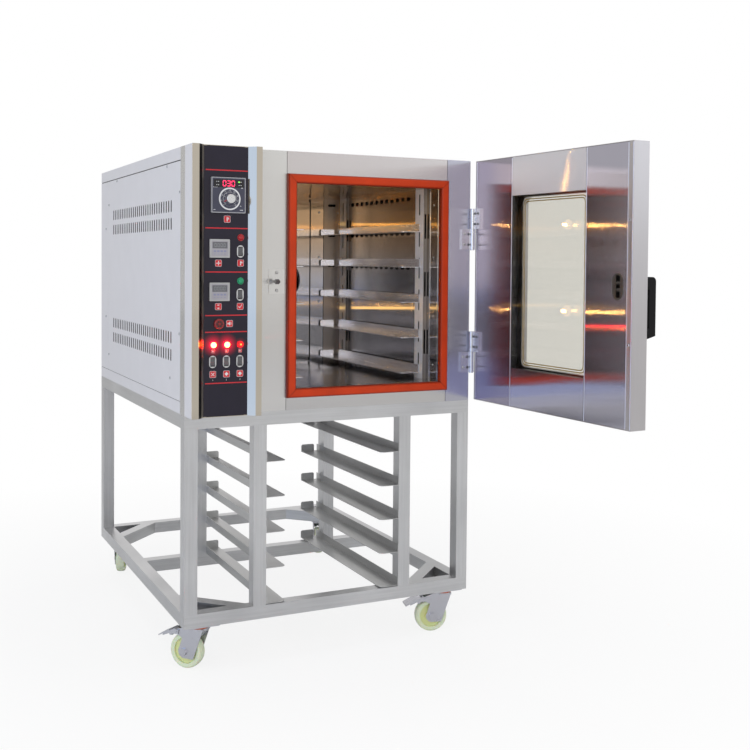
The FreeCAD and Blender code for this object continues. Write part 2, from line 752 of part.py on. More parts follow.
# Outer casing
def pan(z_face, z_skirt, z_lip):
    """Shallow tray of the casing: a face, an outer skirt and an inner lip behind the panels."""
    low_skirt, high_skirt = sorted((z_face, z_skirt))
    low_lip, high_lip = sorted((z_face, z_lip))
    sheet_in = SHEET if z_skirt > z_face else -SHEET
    low_face, high_face = sorted((z_face, z_face + sheet_in))
    y0 = PANEL_FRONT
    ring = box(0, BODY_W, y0, BODY_D, low_skirt, high_skirt)
    ring = ring.cut(box(SHEET, BODY_W - SHEET, y0 + SHEET, BODY_D - SHEET, low_skirt, high_skirt))
    lip = box(SHEET, BODY_W - SHEET, y0 + SHEET, BODY_D - SHEET, low_lip, high_lip)
    skin = 2 * SHEET
    lip = lip.cut(box(skin, BODY_W - skin, y0 + skin, BODY_D - skin, low_lip, high_lip))
    return join(ring, lip, box(0, BODY_W, y0, BODY_D, low_face, high_face))


def base_tray():
    skirt = STAND_H + SKIRT_BOTTOM
    return pan(STAND_H, skirt, skirt + SKIRT_LIP)


def top_cover():
    skirt = BODY_TOP - SKIRT_TOP
    return pan(BODY_TOP, skirt, skirt - SKIRT_LIP)


def left_side_panel():
    slots = []
    for z in LOUVRE_Z:
        for number in range(LOUVRE_COUNT):
            slots.append(obround_wire(LOUVRE_FIRST + LOUVRE_PITCH * number, z, LOUVRE_W, LOUVRE_H))
    outline = rect_wire(PANEL_FRONT, PANEL_BACK, PANEL_LOW, PANEL_HIGH)
    return yz_plate(outline, slots, 0.0, SHEET)


def right_side_panel():
    return box(BODY_W - SHEET, BODY_W, PANEL_FRONT, PANEL_BACK, PANEL_LOW, PANEL_HIGH)


def back_cover():
    vents = []
    first = CAVITY_MID_X - BACK_VENT_PITCH * (BACK_VENT_COUNT - 1) / 2
    for level in (-1, 1):
        middle = CAVITY_MID_Z + level * BACK_VENT_H
        for number in range(BACK_VENT_COUNT):
            x = first + BACK_VENT_PITCH * number
            vents.append(obround_wire(x, middle, BACK_VENT_W, BACK_VENT_H - BACK_VENT_W))
    vents.append(circle_wire(GLAND_X, GLAND_Z, GLAND_SHANK_R + RUN_GAP))
    back = xz_plate(rect_wire(0, BODY_W, PANEL_LOW, PANEL_HIGH), vents, BODY_D - SHEET, SHEET)
    left = box(0, SHEET, BODY_D - BACK_WRAP, BODY_D, PANEL_LOW, PANEL_HIGH)
    return join(back, left, mirrored(left, BODY_W / 2))


def cable_gland():
    inside = BODY_D - SHEET
    spot = (GLAND_X, GLAND_Z)

    def turned(radius, y0, y1):
        return rod(radius, (GLAND_X, y0, GLAND_Z), (GLAND_X, y1, GLAND_Z))

    body = join(turned(GLAND_SHANK_R, inside - GLAND_SHANK_L, BODY_D),
                turned(GLAND_R, BODY_D, BODY_D + GLAND_L),
                prism_y(hexagon(GLAND_HEX_R, *spot), BODY_D, BODY_D + GLAND_HEX_H),
                prism_y(hexagon(GLAND_HEX_R, *spot), inside - GLAND_NUT_H, inside))
    return body.cut(turned(GLAND_BORE_R, inside - GLAND_SHANK_L - CUT_PAST, BODY_D + GLAND_L + CUT_PAST))


def screw(position, outward):
    tip = Vector(*position).add(Vector(*outward).multiply(SCREW_H))
    head = rod(SCREW_R, position, tuple(tip))
    return head.makeChamfer(SCREW_BEVEL, rim_at(head, tuple(tip)))


def side_screw_spot(end, along, level, away):
    y = PANEL_FRONT + along if end == "front" else PANEL_BACK - along
    z = BODY_TOP - away if level == "top" else STAND_H + away
    return y, z


def panel_screws():
    heads = []
    spots = [side_screw_spot(*place) for place in SIDE_SCREWS]
    for x, outward in ((0.0, (-1, 0, 0)), (BODY_W, (1, 0, 0))):
        heads += [screw((x, y, z), outward) for y, z in spots]
    for x in (BACK_SCREW_X, BODY_W / 2, BODY_W - BACK_SCREW_X):
        for z in (PANEL_LOW + SCREW_EDGE, PANEL_HIGH - SCREW_EDGE):
            heads.append(screw((x, BODY_D, z), (0, 1, 0)))
    plate_half = STRIKER_PLATE_H / 2 - SCREW_EDGE
    for z in (CATCH_Z - plate_half, CATCH_Z + plate_half):
        heads.append(screw((CATCH_X + SCREW_EDGE, -STRIKER_PLATE_T, z), (0, -1, 0)))
    for base in HINGE_Z:
        middle = base + HINGE_LEAF_H / 2
        for z in (middle - HINGE_SCREW_STEP / 2, middle + HINGE_SCREW_STEP / 2):
            heads.append(screw((BODY_W - HINGE_LEAF_W + SCREW_EDGE, -HINGE_LEAF_T, z), (0, -1, 0)))
    return group(heads)


# Front frame
def frame_piece(face, x0, x1, sides):
    """Face sheet of the front frame with its top, bottom or side returns."""
    edges = {"top": (x0, x1, BODY_TOP - SHEET, BODY_TOP), "bottom": (x0, x1, STAND_H, STAND_H + SHEET),
             "left": (x0, x0 + SHEET, STAND_H, BODY_TOP), "right": (x1 - SHEET, x1, STAND_H, BODY_TOP)}
    returns = []
    for side in sides:
        a, b, low, high = edges[side]
        returns.append(box(a, b, 0, FRAME_RETURN, low, high))
    return join(face, *returns)


def front_frame():
    half = SEAM / 2
    inner_edge = OPEN_X0 - half
    outer_edge = OPEN_X1 + half
    wiring = rect_wire(PANEL_X0 + WIRING_INSET, PANEL_X1 - WIRING_INSET, STAND_H + TUBE, BODY_TOP - TUBE)
    left = xz_plate(rect_wire(0, inner_edge, STAND_H, BODY_TOP), [wiring], 0.0, SHEET)
    right = box(outer_edge, BODY_W, 0, SHEET, STAND_H, BODY_TOP)
    x0 = OPEN_X0 + half
    x1 = OPEN_X1 - half
    upper = box(x0, x1, 0, SHEET, OPEN_Z1 + half, BODY_TOP)
    lower = box(x0, x1, 0, SHEET, STAND_H, OPEN_Z0 - half)
    stile_sides = ("top", "bottom", "left", "right")
    return group([frame_piece(left, 0, inner_edge, stile_sides),
                  frame_piece(right, outer_edge, BODY_W, stile_sides),
                  frame_piece(upper, x0, x1, ("top",)), frame_piece(lower, x0, x1, ("bottom",))])


# Control column
def column_edge(x_edge, x_flat, x_panel, inward):
    """One long edge of the column: wall, front strip, bevel and the seat behind the panel."""
    front = -COLUMN_PROUD
    seat = PANEL_Y + PANEL_T
    skin = SHEET * math.sqrt(0.5)
    back = -inward * skin
    seat_out = x_panel - inward * 2 * SHEET

    def upright_sheet(xa, xb, y0, y1):
        return box(min(xa, xb), max(xa, xb), y0, y1, STAND_H, BODY_TOP)

    bevel = prism_z([(x_flat, front), (x_panel, PANEL_Y), (x_panel + back, PANEL_Y + skin),
                     (x_flat + back, front + skin)], STAND_H, BODY_TOP)
    return [upright_sheet(x_edge, x_edge + inward * SHEET, front, 0),
            upright_sheet(x_edge, x_flat, front, front + SHEET),
            upright_sheet(seat_out, seat_out + inward * SHEET, PANEL_Y, seat + SHEET),
            upright_sheet(seat_out, x_panel + inward * PANEL_LAP, seat, seat + SHEET),
            bevel]


def column_trim():
    front = -COLUMN_PROUD
    right_flat = COLUMN_W - TRIM_RIGHT
    outline = [(0, 0), (0, front), (TRIM_LEFT, front), (PANEL_X0, PANEL_Y), (PANEL_X1, PANEL_Y),
               (right_flat, front), (COLUMN_W, front), (COLUMN_W, 0)]
    caps = [prism_z(outline, STAND_H, STAND_H + SHEET), prism_z(outline, BODY_TOP - SHEET, BODY_TOP)]
    edges = column_edge(0.0, TRIM_LEFT, PANEL_X0, 1) + column_edge(COLUMN_W, right_flat, PANEL_X1, -1)
    return join(*edges, *caps)


def control_panel():
    slack = 2 * PART_GAP
    side = CONTROL_SIZE - 2 * CONTROL_LIP + slack
    holes = [centred_wire(CONTROL_X, CONTROL_Z, side, side)]
    for up in TIMER_UP:
        holes.append(centred_wire(TIMER_X, STAND_H + up, TIMER_W - 2 * TIMER_LIP + slack,
                                  TIMER_H - 2 * TIMER_LIP + slack))
    holes += [circle_wire(x, STAND_H + up, LAMP_R + PART_GAP) for x, up in LAMPS]
    holes.append(circle_wire(BUZZER_X, BUZZER_Z, BUZZER_BODY_R + PART_GAP))
    width = BEZEL_W - 2 * BEZEL_LIP + slack
    height = BEZEL_H - 2 * BEZEL_LIP + slack
    holes += [obround_wire(x, STAND_H + up, width, height) for x, up in ROCKERS]
    edge = SHEET + PANEL_MARGIN
    outline = rect_wire(PANEL_X0 + PART_GAP, PANEL_X1 - PART_GAP, STAND_H + edge, BODY_TOP - edge)
    return xz_plate(outline, holes, PANEL_Y, PANEL_T)


def dial_rod(radius, y0, y1):
    return rod(radius, (DIAL_X, y0, DIAL_Z), (DIAL_X, y1, DIAL_Z))


def temperature_controller():
    side = CONTROL_SIZE
    inner = side - 2 * CONTROL_LIP
    front = PANEL_Y - CONTROL_PROUD
    face = panel_block(CONTROL_X, CONTROL_Z, side, side, front, PANEL_Y)
    face = face.makeFillet(CONTROL_ROUND, edges_along(face, Vector(0, 1, 0)))
    body = panel_block(CONTROL_X, CONTROL_Z, inner, inner, PANEL_Y, PANEL_Y + CONTROL_DEEP)
    return join(face, body, dial_rod(DIAL_R, DIAL_Y, front), dial_rod(SPINDLE_R, DIAL_Y - SPINDLE_L, front))


def temperature_knob():
    back = DIAL_Y - PART_GAP
    front = back - KNOB_L
    grip = dial_rod(KNOB_R, front, back)
    grip = grip.makeFillet(KNOB_ROUND, rim_at(grip, (DIAL_X, front, DIAL_Z)))
    socket = dial_rod(SPINDLE_R + RUN_GAP, DIAL_Y - SPINDLE_L - PART_GAP, back)
    return join(dial_rod(KNOB_SKIRT_R, back - KNOB_SKIRT_T, back), grip).cut(socket)


def timers():
    solids = []
    for up in TIMER_UP:
        z = STAND_H + up
        face = panel_block(TIMER_X, z, TIMER_W, TIMER_H, PANEL_Y - TIMER_PROUD, PANEL_Y)
        face = face.makeFillet(TIMER_ROUND, edges_along(face, Vector(0, 1, 0)))
        body = panel_block(TIMER_X, z, TIMER_W - 2 * TIMER_LIP, TIMER_H - 2 * TIMER_LIP, PANEL_Y,
                           PANEL_Y + TIMER_DEEP)
        solids.append(join(face, body))
    return group(solids)


def indicator_lamps():
    solids = []
    for x, up in LAMPS:
        z = STAND_H + up
        tip = (x, PANEL_Y - LAMP_PROUD, z)
        flange = rod(LAMP_FLANGE_R, (x, PANEL_Y - LAMP_FLANGE_T, z), (x, PANEL_Y, z))
        lens = rod(LAMP_R, tip, (x, PANEL_Y + LAMP_DEEP, z))
        solids.append(join(lens.makeFillet(LAMP_ROUND, rim_at(lens, tip)), flange))
    return group(solids)


def buzzer():
    tip = (BUZZER_X, PANEL_Y - BUZZER_PROUD, BUZZER_Z)
    seat = (BUZZER_X, PANEL_Y, BUZZER_Z)
    cap = rod(BUZZER_R, tip, seat)
    body = rod(BUZZER_BODY_R, seat, (BUZZER_X, PANEL_Y + BUZZER_DEEP, BUZZER_Z))
    return join(cap.makeFillet(BUZZER_ROUND, rim_at(cap, tip)), body)


def switch_bezels():
    solids = []
    front = PANEL_Y - BEZEL_PROUD
    for x, up in ROCKERS:
        z = STAND_H + up
        ring = xz_plate(obround_wire(x, z, BEZEL_W, BEZEL_H), [], front, BEZEL_PROUD)
        inner = obround_wire(x, z, BEZEL_W - 2 * BEZEL_LIP, BEZEL_H - 2 * BEZEL_LIP)
        body = xz_plate(inner, [], PANEL_Y, BEZEL_DEEP)
        floor = PANEL_Y + BEZEL_DEEP - SHEET
        well = panel_block(x, z, ROCKER_HOLE_W, ROCKER_HOLE_H, front - CUT_PAST, floor)
        solids.append(join(ring, body).cut(well))
    return group(solids)


def rocker(spot):
    """Rocker with ends rounded about its pivot, drawn tilted to one of its two settled positions."""
    x, up = spot
    z = STAND_H + up
    y = ROCKER_PIVOT_Y
    half = ROCKER_W / 2
    drum = rod(ROCKER_R, (x - half, y, z), (x + half, y, z))
    tip = y - PANEL_T - BEZEL_PROUD - ROCKER_TIP
    back = y + ROCKER_BACK
    low = z - ROCKER_R - CUT_PAST
    high = z + ROCKER_R + CUT_PAST
    keep = prism_x([(back, low), (back, high), (tip, high), (tip + ROCKER_DIP, z), (tip, low)],
                   x - ROCKER_W, x + ROCKER_W)
    shape = drum.common(keep)
    shape.rotate(Vector(x, y, z), Vector(1, 0, 0), -ROCKER_TILT)
    return shape


# Oven cavity
def door_gasket():
    """Four mitred runs of a round-shouldered seal around the opening."""
    half_w = (OPEN_X1 - OPEN_X0) / 2
    half_h = (OPEN_Z1 - OPEN_Z0) / 2
    centre = Vector((OPEN_X0 + OPEN_X1) / 2, 0, (OPEN_Z0 + OPEN_Z1) / 2)
    bend = GASKET_ROUND * (1 - math.sqrt(0.5))
    low = GASKET_ROUND - GASKET_H
    top = -GASKET_H

    def run(distance, half_length, turn):
        """One run with its outer face at a distance left of the centre, then turned about it."""
        a = centre.x - distance
        b = a + GASKET_W
        z = centre.z - half_length
        foot_a = Vector(a, 0, z)
        side_a = Vector(a, low, z)
        crest_a = Vector(a + GASKET_ROUND, top, z)
        crest_b = Vector(b - GASKET_ROUND, top, z)
        side_b = Vector(b, low, z)
        foot_b = Vector(b, 0, z)
        curves = [Part.LineSegment(foot_a, side_a),
                  Part.Arc(side_a, Vector(a + bend, top + bend, z), crest_a),
                  Part.LineSegment(crest_a, crest_b),
                  Part.Arc(crest_b, Vector(b - bend, top + bend, z), side_b),
                  Part.LineSegment(side_b, foot_b),
                  Part.LineSegment(foot_b, foot_a)]
        section = Part.Face(Part.Wire([curve.toShape() for curve in curves]))
        bar = section.extrude(Vector(0, 0, 2 * half_length))
        end = z + 2 * half_length
        mitre = prism_y([(a, z), (a, end), (b, end - GASKET_W), (b, z + GASKET_W)], top - CUT_PAST, CUT_PAST)
        bar = bar.common(mitre)
        bar.rotate(centre, Vector(0, 1, 0), turn)
        return bar

    uprights = [run(half_w, half_h, turn) for turn in (0, 180)]
    levels = [run(half_h, half_w, turn) for turn in (90, 270)]
    return join(*uprights, *levels)


def liner_block(y0):
    """Outside of the liner, from a given depth back."""
    return box(LINER_X0 - SHEET, LINER_X1 + SHEET, y0, LINER_BACK + SHEET,
               CAVITY_Z0 - SHEET, CAVITY_Z1 + SHEET)


def fan_rod(radius, y0, y1):
    """Rod on the fan's axis."""
    return rod(radius, (CAVITY_MID_X, y0, CAVITY_MID_Z), (CAVITY_MID_X, y1, CAVITY_MID_Z))


def cavity_liner():
    shell = liner_block(0).cut(box(LINER_X0, LINER_X1, -CUT_PAST, LINER_BACK, CAVITY_Z0, CAVITY_Z1))
    gap = SEAM / 2
    flange = xz_plate(rect_wire(OPEN_X0 + gap, OPEN_X1 - gap, OPEN_Z0 + gap, OPEN_Z1 - gap),
                      [rect_wire(DUCT_X0, DUCT_X1, CAVITY_Z0, CAVITY_Z1)], 0.0, SHEET)
    shaft_hole = fan_rod(SHAFT_HOLE_R, LINER_BACK - CUT_PAST, LINER_BACK + SHEET + CUT_PAST)
    return join(shell, flange).cut(shaft_hole)


def level_z(number):
    return CAVITY_Z0 + RAIL_FIRST + RAIL_PITCH * number


def duct_panels():
    rows = [level_z(number) - DUCT_HOLE_DROP for number in range(RAIL_COUNT + 1)]
    holes = []
    for z in rows:
        for number in range(DUCT_HOLE_COUNT):
            y = DUCT_HOLE_Y + DUCT_HOLE_PITCH * number
            holes.append(obround_wire(y, z, DUCT_HOLE_W, DUCT_HOLE_H))
    outline = rect_wire(SHEET, CAVITY_D, CAVITY_Z0, CAVITY_Z1)
    left = yz_plate(outline, holes, DUCT_X0 - SHEET, SHEET)
    return group([left, mirrored(left, CAVITY_MID_X)])


def fan_baffle():
    """Back wall of the cavity and the raised cover around the fan's intake."""
    holes = [circle_wire(CAVITY_MID_X, CAVITY_MID_Z, FAN_HOLE_R)]
    for number in range(RAIL_COUNT + 1):
        for x in (DUCT_X0 + OUTLET_INSET, DUCT_X1 - OUTLET_INSET):
            holes.append(obround_wire(x, level_z(number), OUTLET_W, OUTLET_H))
    outline = rect_wire(DUCT_X0 - SHEET, DUCT_X1 + SHEET, CAVITY_Z0, CAVITY_Z1)
    wall = xz_plate(outline, holes, CAVITY_D, SHEET)
    x0 = CAVITY_MID_X - FAN_COVER_W / 2
    x1 = CAVITY_MID_X + FAN_COVER_W / 2
    z0 = CAVITY_Z0 + FAN_COVER_EDGE
    z1 = CAVITY_Z1 - FAN_COVER_EDGE
    front = CAVITY_D - FAN_COVER_DEEP
    cover = box(x0, x1, front, CAVITY_D, z0, z1)
    cover = cover.cut(box(x0 + SHEET, x1 - SHEET, front + SHEET, CAVITY_D, z0 + SHEET, z1 - SHEET))
    return group([wall, cover.cut(fan_rod(FAN_HOLE_R, front - CUT_PAST, CAVITY_D))])


def slot_column(across, width, height, count, inset):
    """Upright slots, evenly spread over the height of the cavity."""
    first = CAVITY_Z0 + inset
    step = (CAVITY_Z1 - inset - first) / (count - 1)
    return [obround_wire(across, first + step * number, width, height) for number in range(count)]


def upright(y0):
    """Channel against the right duct panel, slotted in its web and its front flange."""
    x0 = DUCT_X1 - UPRIGHT_DEEP
    y1 = y0 + UPRIGHT_W
    web_slots = slot_column((y0 + y1) / 2, UPRIGHT_SLOT_W, UPRIGHT_SLOT_H, UPRIGHT_SLOT_COUNT,
                            UPRIGHT_SLOT_INSET)
    middle = (x0 + SHEET + DUCT_X1) / 2
    flange_slots = slot_column(middle, FLANGE_SLOT_W, FLANGE_SLOT_H, FLANGE_SLOT_COUNT, FLANGE_SLOT_INSET)
    web = yz_plate(rect_wire(y0, y1, CAVITY_Z0, CAVITY_Z1), web_slots, x0, SHEET)
    near = xz_plate(rect_wire(x0, DUCT_X1, CAVITY_Z0, CAVITY_Z1), flange_slots, y0, SHEET)
    far = box(x0, DUCT_X1, y1 - SHEET, y1, CAVITY_Z0, CAVITY_Z1)
    return join(web, near, far)


def rack_uprights():
    right = [upright(UPRIGHT_FRONT_Y), upright(UPRIGHT_REAR_Y)]
    return group(right + [mirrored(one, CAVITY_MID_X) for one in right])


def oven_rails():
    web = DUCT_X0 + UPRIGHT_DEEP
    end = CAVITY_D - RAIL_REAR_GAP
    return [angle_rail(web, level_z(number), RAIL_Y, end, RAIL_WEB, RAIL_FLANGE, RAIL_STOP)
            for number in range(RAIL_COUNT)]


def motor_rods(radius, y0, y1):
    """Rods that carry the motor plate, through the insulation from the liner."""
    reach = MOTOR_PLATE / 2 - MOTOR_ROD_INSET
    rods = []
    for x in (CAVITY_MID_X - reach, CAVITY_MID_X + reach):
        for z in (CAVITY_MID_Z - reach, CAVITY_MID_Z + reach):
            rods.append(rod(radius, (x, y0, z), (x, y1, z)))
    return rods


def insulation():
    y0 = PANEL_FRONT + 2 * SHEET
    past = INSULATION_END + CUT_PAST
    block = box(LINER_X0 - SHEET - INSULATION_SIDE, BODY_W - 2 * SHEET, y0, INSULATION_END,
                STAND_H + SHEET, BODY_TOP - SHEET)
    cuts = [liner_block(0), fan_rod(SHAFT_HOLE_R, LINER_BACK, past)]
    return block.cut(group(cuts + motor_rods(MOTOR_ROD_R + PART_GAP, LINER_BACK, past)))


def cavity_lamps():
    solids = []
    for up in CAVITY_LAMP_UP:
        z = CAVITY_Z0 + up
        seat = (DUCT_X0, CAVITY_LAMP_Y, z)
        tip = (DUCT_X0 + CAVITY_LAMP_PROUD, CAVITY_LAMP_Y, z)
        base = rod(CAVITY_LAMP_FLANGE_R, seat, (DUCT_X0 + CAVITY_LAMP_FLANGE_T, CAVITY_LAMP_Y, z))
        dome = rod(CAVITY_LAMP_R, seat, tip)
        solids.append(join(base, dome.makeFillet(CAVITY_LAMP_ROUND, rim_at(dome, tip))))
    return group(solids)


# Fan, motor and heater
def fan_wheel():
    """Wheel of leaning blades between a back disc and a front ring, on the motor's shaft."""
    x = CAVITY_MID_X
    z = CAVITY_MID_Z
    front = FAN_BACK - FAN_DEEP
    hub_front = FAN_BACK - FAN_HUB_L
    eye = fan_rod(FAN_EYE_R, front - CUT_PAST, front + SHEET + CUT_PAST)
    ring = fan_rod(FAN_R, front, front + SHEET).cut(eye)
    blade = box(x + FAN_BLADE_IN, x + FAN_BLADE_OUT, front, FAN_BACK, z - SHEET / 2, z + SHEET / 2)
    blade.rotate(Vector(x + (FAN_BLADE_IN + FAN_BLADE_OUT) / 2, 0, z), Vector(0, 1, 0), FAN_LEAN)
    blades = []
    for number in range(FAN_BLADES):
        turned = blade.copy()
        turned.rotate(Vector(x, 0, z), Vector(0, 1, 0), 360.0 / FAN_BLADES * number)
        blades.append(turned)
    return join(fan_rod(FAN_R, FAN_BACK - 2 * SHEET, FAN_BACK), fan_rod(FAN_HUB_R, hub_front, FAN_BACK),
                fan_rod(SHAFT_R, hub_front, INSULATION_END + SHAFT_IN_MOTOR), ring, *blades)


def fan_motor():
    front = INSULATION_END
    plate_back = front + MOTOR_PLATE_T
    mount = panel_block(CAVITY_MID_X, CAVITY_MID_Z, MOTOR_PLATE, MOTOR_PLATE, front, plate_back)
    rods = motor_rods(MOTOR_ROD_R, LINER_BACK + SHEET, plate_back)
    bore = fan_rod(SHAFT_R + RUN_GAP, front - CUT_PAST, front + SHAFT_IN_MOTOR + PART_GAP)
    return join(fan_rod(MOTOR_R, front, front + MOTOR_L), mount, *rods).cut(bore)


def heater_loop(level, spread):
    """One sheathed tube bent to an open ring, both ends led to the back wall of the liner."""
    centre = Vector(CAVITY_MID_X, level, CAVITY_MID_Z)
    back = Vector(0, HEATER_BEND_R, 0)
    middle = math.radians(HEATER_LEG_ANGLE)
    half_gap = math.asin((spread + HEATER_BEND_R) / HEATER_R)

    def on_ring(angle):
        return centre.add(Vector(math.cos(angle), 0, math.sin(angle)).multiply(HEATER_R))

    def leg(angle, sense):
        """Bend and straight leg from one end of the ring, and the point where the leg ends."""
        onward = Vector(math.sin(angle), 0, -math.cos(angle)).multiply(sense * HEATER_BEND_R)
        tip = on_ring(angle)
        pivot = tip.add(back)
        halfway = pivot.add(onward.sub(back).multiply(math.sqrt(0.5)))
        turned = pivot.add(onward)
        wall = Vector(turned.x, LINER_BACK, turned.z)
        return [Part.Arc(tip, halfway, turned).toShape(), Part.LineSegment(turned, wall).toShape()], wall

    ends = (on_ring(middle + half_gap), on_ring(middle - half_gap))
    ring = Part.Arc(ends[0], on_ring(middle + math.pi), ends[1]).toShape()
    first, wall = leg(middle + half_gap, 1)
    last, _ = leg(middle - half_gap, -1)
    run = Part.Wire(Part.__sortEdges__(first[::-1] + [ring] + last))
    sheath = Part.Wire(Part.Circle(wall, Vector(0, -1, 0), HEATER_TUBE_R).toShape())
    return run.makePipeShell([sheath], True, False)


def ring_heater():
    """Two rings around the fan wheel, one behind the other."""
    level = FAN_BACK - FAN_DEEP / 2
    return group([heater_loop(level + HEATER_STEP * number, spread) for number, spread in
                  enumerate(HEATER_LEG_SPREAD)])


# Striker on the left stile
def latch_striker():
    """Plate with a spear-headed tongue that snaps between the rollers of the catch."""
    x0 = CATCH_X - STRIKER_LAP
    half_h = STRIKER_PLATE_H / 2
    base = box(x0, x0 + STRIKER_PLATE_W, -STRIKER_PLATE_T, 0, CATCH_Z - half_h, CATCH_Z + half_h)
    head = ROLLER_Y - ROLLER_R - PART_GAP
    neck = STRIKER_NECK / 2
    wide = STRIKER_HEAD / 2
    outline = [(0, -neck), (head, -neck), (head, -wide), (head - STRIKER_TIP, 0), (head, wide), (head, neck),
               (0, neck)]
    half_w = STRIKER_W / 2
    tongue = prism_x([(y, CATCH_Z + z) for y, z in outline], CATCH_X - half_w, CATCH_X + half_w)
    return join(base, tongue)


# Hinges
def hinge_rod(radius, z0, z1):
    return rod(radius, (HINGE_X, HINGE_Y, z0), (HINGE_X, HINGE_Y, z1))


def hinge_leaf(z0, y0, y1):
    x1 = BODY_W - PART_GAP
    flat = box(BODY_W - HINGE_LEAF_W, x1, y0, y1, z0, z0 + HINGE_LEAF_H)
    bridge = box(x1 - HINGE_LEAF_T, HINGE_X, y0, y1, z0, z0 + HINGE_LEAF_H)
    return join(flat, bridge, hinge_rod(HINGE_KNUCKLE_R, z0, z0 + HINGE_LEAF_H))


def hinge_body_leaves():
    """Leaves on the right stile, each carrying the pin that the door leaf above it turns on."""
    solids = []
    for z0 in HINGE_Z:
        bore = hinge_rod(HINGE_PIN_R + RUN_GAP, z0 - CUT_PAST, z0 + HINGE_LEAF_H + CUT_PAST)
        solids.append(hinge_leaf(z0, -HINGE_LEAF_T, 0).cut(bore))
        low = z0 - HINGE_CAP_H
        top = z0 + 2 * HINGE_LEAF_H + HINGE_LEAF_GAP
        solids.append(join(hinge_rod(HINGE_PIN_R, low, top), hinge_rod(HINGE_CAP_R, low, z0)))
    return group(solids)


def opened(shape):
    """Swing a piece of the closed door open about the hinge pins."""
    turned = shape.copy()
    turned.rotate(Vector(HINGE_X, HINGE_Y, 0), Vector(0, 0, 1), DOOR_OPEN)
    return turned


def hinge_door_leaves():
    leaves = []
    for z0 in HINGE_Z:
        base = z0 + HINGE_LEAF_H + HINGE_LEAF_GAP
        bore = hinge_rod(HINGE_PIN_R + RUN_GAP, base - CUT_PAST, base + HINGE_LEAF_H + CUT_PAST)
        leaves.append(hinge_leaf(base, DOOR_IN, DOOR_IN + HINGE_LEAF_T).cut(bore))
    return opened(group(leaves))


# Door, drawn closed and then swung open
def outer_window(grow):
    """Rounded outline of the window in the outer skin, grown by a margin."""
    return round_rect_wire(OUTER_X0 - grow, OUTER_X1 + grow, OUTER_Z0 - grow, OUTER_Z1 + grow,
                           OUTER_ROUND + grow)


def door_shell():
    """Outer skin with folded edges and a collar from the window opening back to the outer pane."""
    z0 = DOOR_Z0 + SHEET
    z1 = DOOR_Z1 - SHEET
    outer = box(DOOR_X0, DOOR_X1, DOOR_OUT, DOOR_IN, DOOR_Z0, DOOR_Z1)
    hollow = box(DOOR_X0 + SHEET, DOOR_X1 - SHEET, DOOR_OUT + SHEET, DOOR_IN - SHEET, z0, z1)
    mouth = box(DOOR_X0 + DOOR_FLANGE_FREE, DOOR_X1 - DOOR_FLANGE_HINGE,
                DOOR_IN - 2 * SHEET, DOOR_IN + CUT_PAST, z0, z1)
    window = xz_plate(outer_window(0.0), [], DOOR_OUT, SHEET)
    collar = xz_plate(outer_window(SHEET), [outer_window(0.0)], DOOR_OUT, OUTER_PANE_Y - PANE_T - DOOR_OUT)
    return opened(join(outer.cut(group([hollow, mouth])).cut(window), collar))


def door_inner_panels():
    half = SEAM / 2
    z0 = DOOR_Z0 + SHEET + half
    z1 = DOOR_Z1 - SHEET - half
    free_edge = DOOR_X0 + DOOR_FLANGE_FREE + half
    hinge_edge = DOOR_X1 - DOOR_FLANGE_HINGE - half
    hole = obround_wire(CATCH_X, CATCH_Z, CATCH_HOLE_W, CATCH_HOLE_H)
    free = xz_plate(rect_wire(free_edge, WINDOW_X0 - half, z0, z1), [hole], DOOR_IN - SHEET, SHEET)
    hinge = box(WINDOW_X1 + half, hinge_edge, DOOR_IN - SHEET, DOOR_IN, z0, z1)
    upper = box(WINDOW_X0 + half, WINDOW_X1 - half, DOOR_IN - SHEET, DOOR_IN, WINDOW_Z1, z1)
    lower = box(WINDOW_X0 + half, WINDOW_X1 - half, DOOR_IN - SHEET, DOOR_IN, z0, WINDOW_Z0)
    return opened(group([free, hinge, upper, lower]))


def pane_outline():
    return (WINDOW_X0 - PANE_LAP, WINDOW_X1 + PANE_LAP, WINDOW_Z0 - PANE_LAP, WINDOW_Z1 + PANE_LAP)


def door_glass():
    x0, x1, z0, z1 = pane_outline()
    inner = box(x0, x1, SPACER_Y, INNER_PANE_Y, z0, z1)
    outer = box(x0, x1, OUTER_PANE_Y - PANE_T, OUTER_PANE_Y, z0, z1)
    return opened(group([inner, outer]))


def window_frame():
    x0, x1, z0, z1 = pane_outline()
    ring = xz_plate(rect_wire(x0, x1, z0, z1), [rect_wire(WINDOW_X0, WINDOW_X1, WINDOW_Z0, WINDOW_Z1)],
                    OUTER_PANE_Y, SPACER_DEEP)
    return opened(ring)


def door_handle():
    """Bow handle, rounded at the top and cut away below."""
    x0 = DOOR_X0 + HANDLE_IN - HANDLE_W / 2
    x1 = x0 + HANDLE_W
    z0 = DOOR_Z0 + HANDLE_LOW
    z1 = z0 + HANDLE_L
    far = DOOR_OUT - HANDLE_OUT
    bow = prism_x([(DOOR_OUT, z0), (far, z0 + HANDLE_ROUND), (far, z1), (DOOR_OUT, z1)], x0, x1)
    corner = [edge for edge in edges_along(bow, Vector(1, 0, 0))
              if abs(edge.Vertexes[0].Y - far) < TINY and abs(edge.Vertexes[0].Z - z1) < TINY]
    bow = bow.makeFillet(HANDLE_ROUND, corner)
    gap = box(x0 - CUT_PAST, x1 + CUT_PAST, far + HANDLE_BAR, DOOR_OUT + CUT_PAST, z0 + HANDLE_FOOT,
              z1 - HANDLE_FOOT)
    return opened(bow.cut(gap))


def catch_block(half_w, half_h, y0, y1):
    """Box centred on the latch hole, between two depths."""
    return panel_block(CATCH_X, CATCH_Z, 2 * half_w, 2 * half_h, y0, y1)


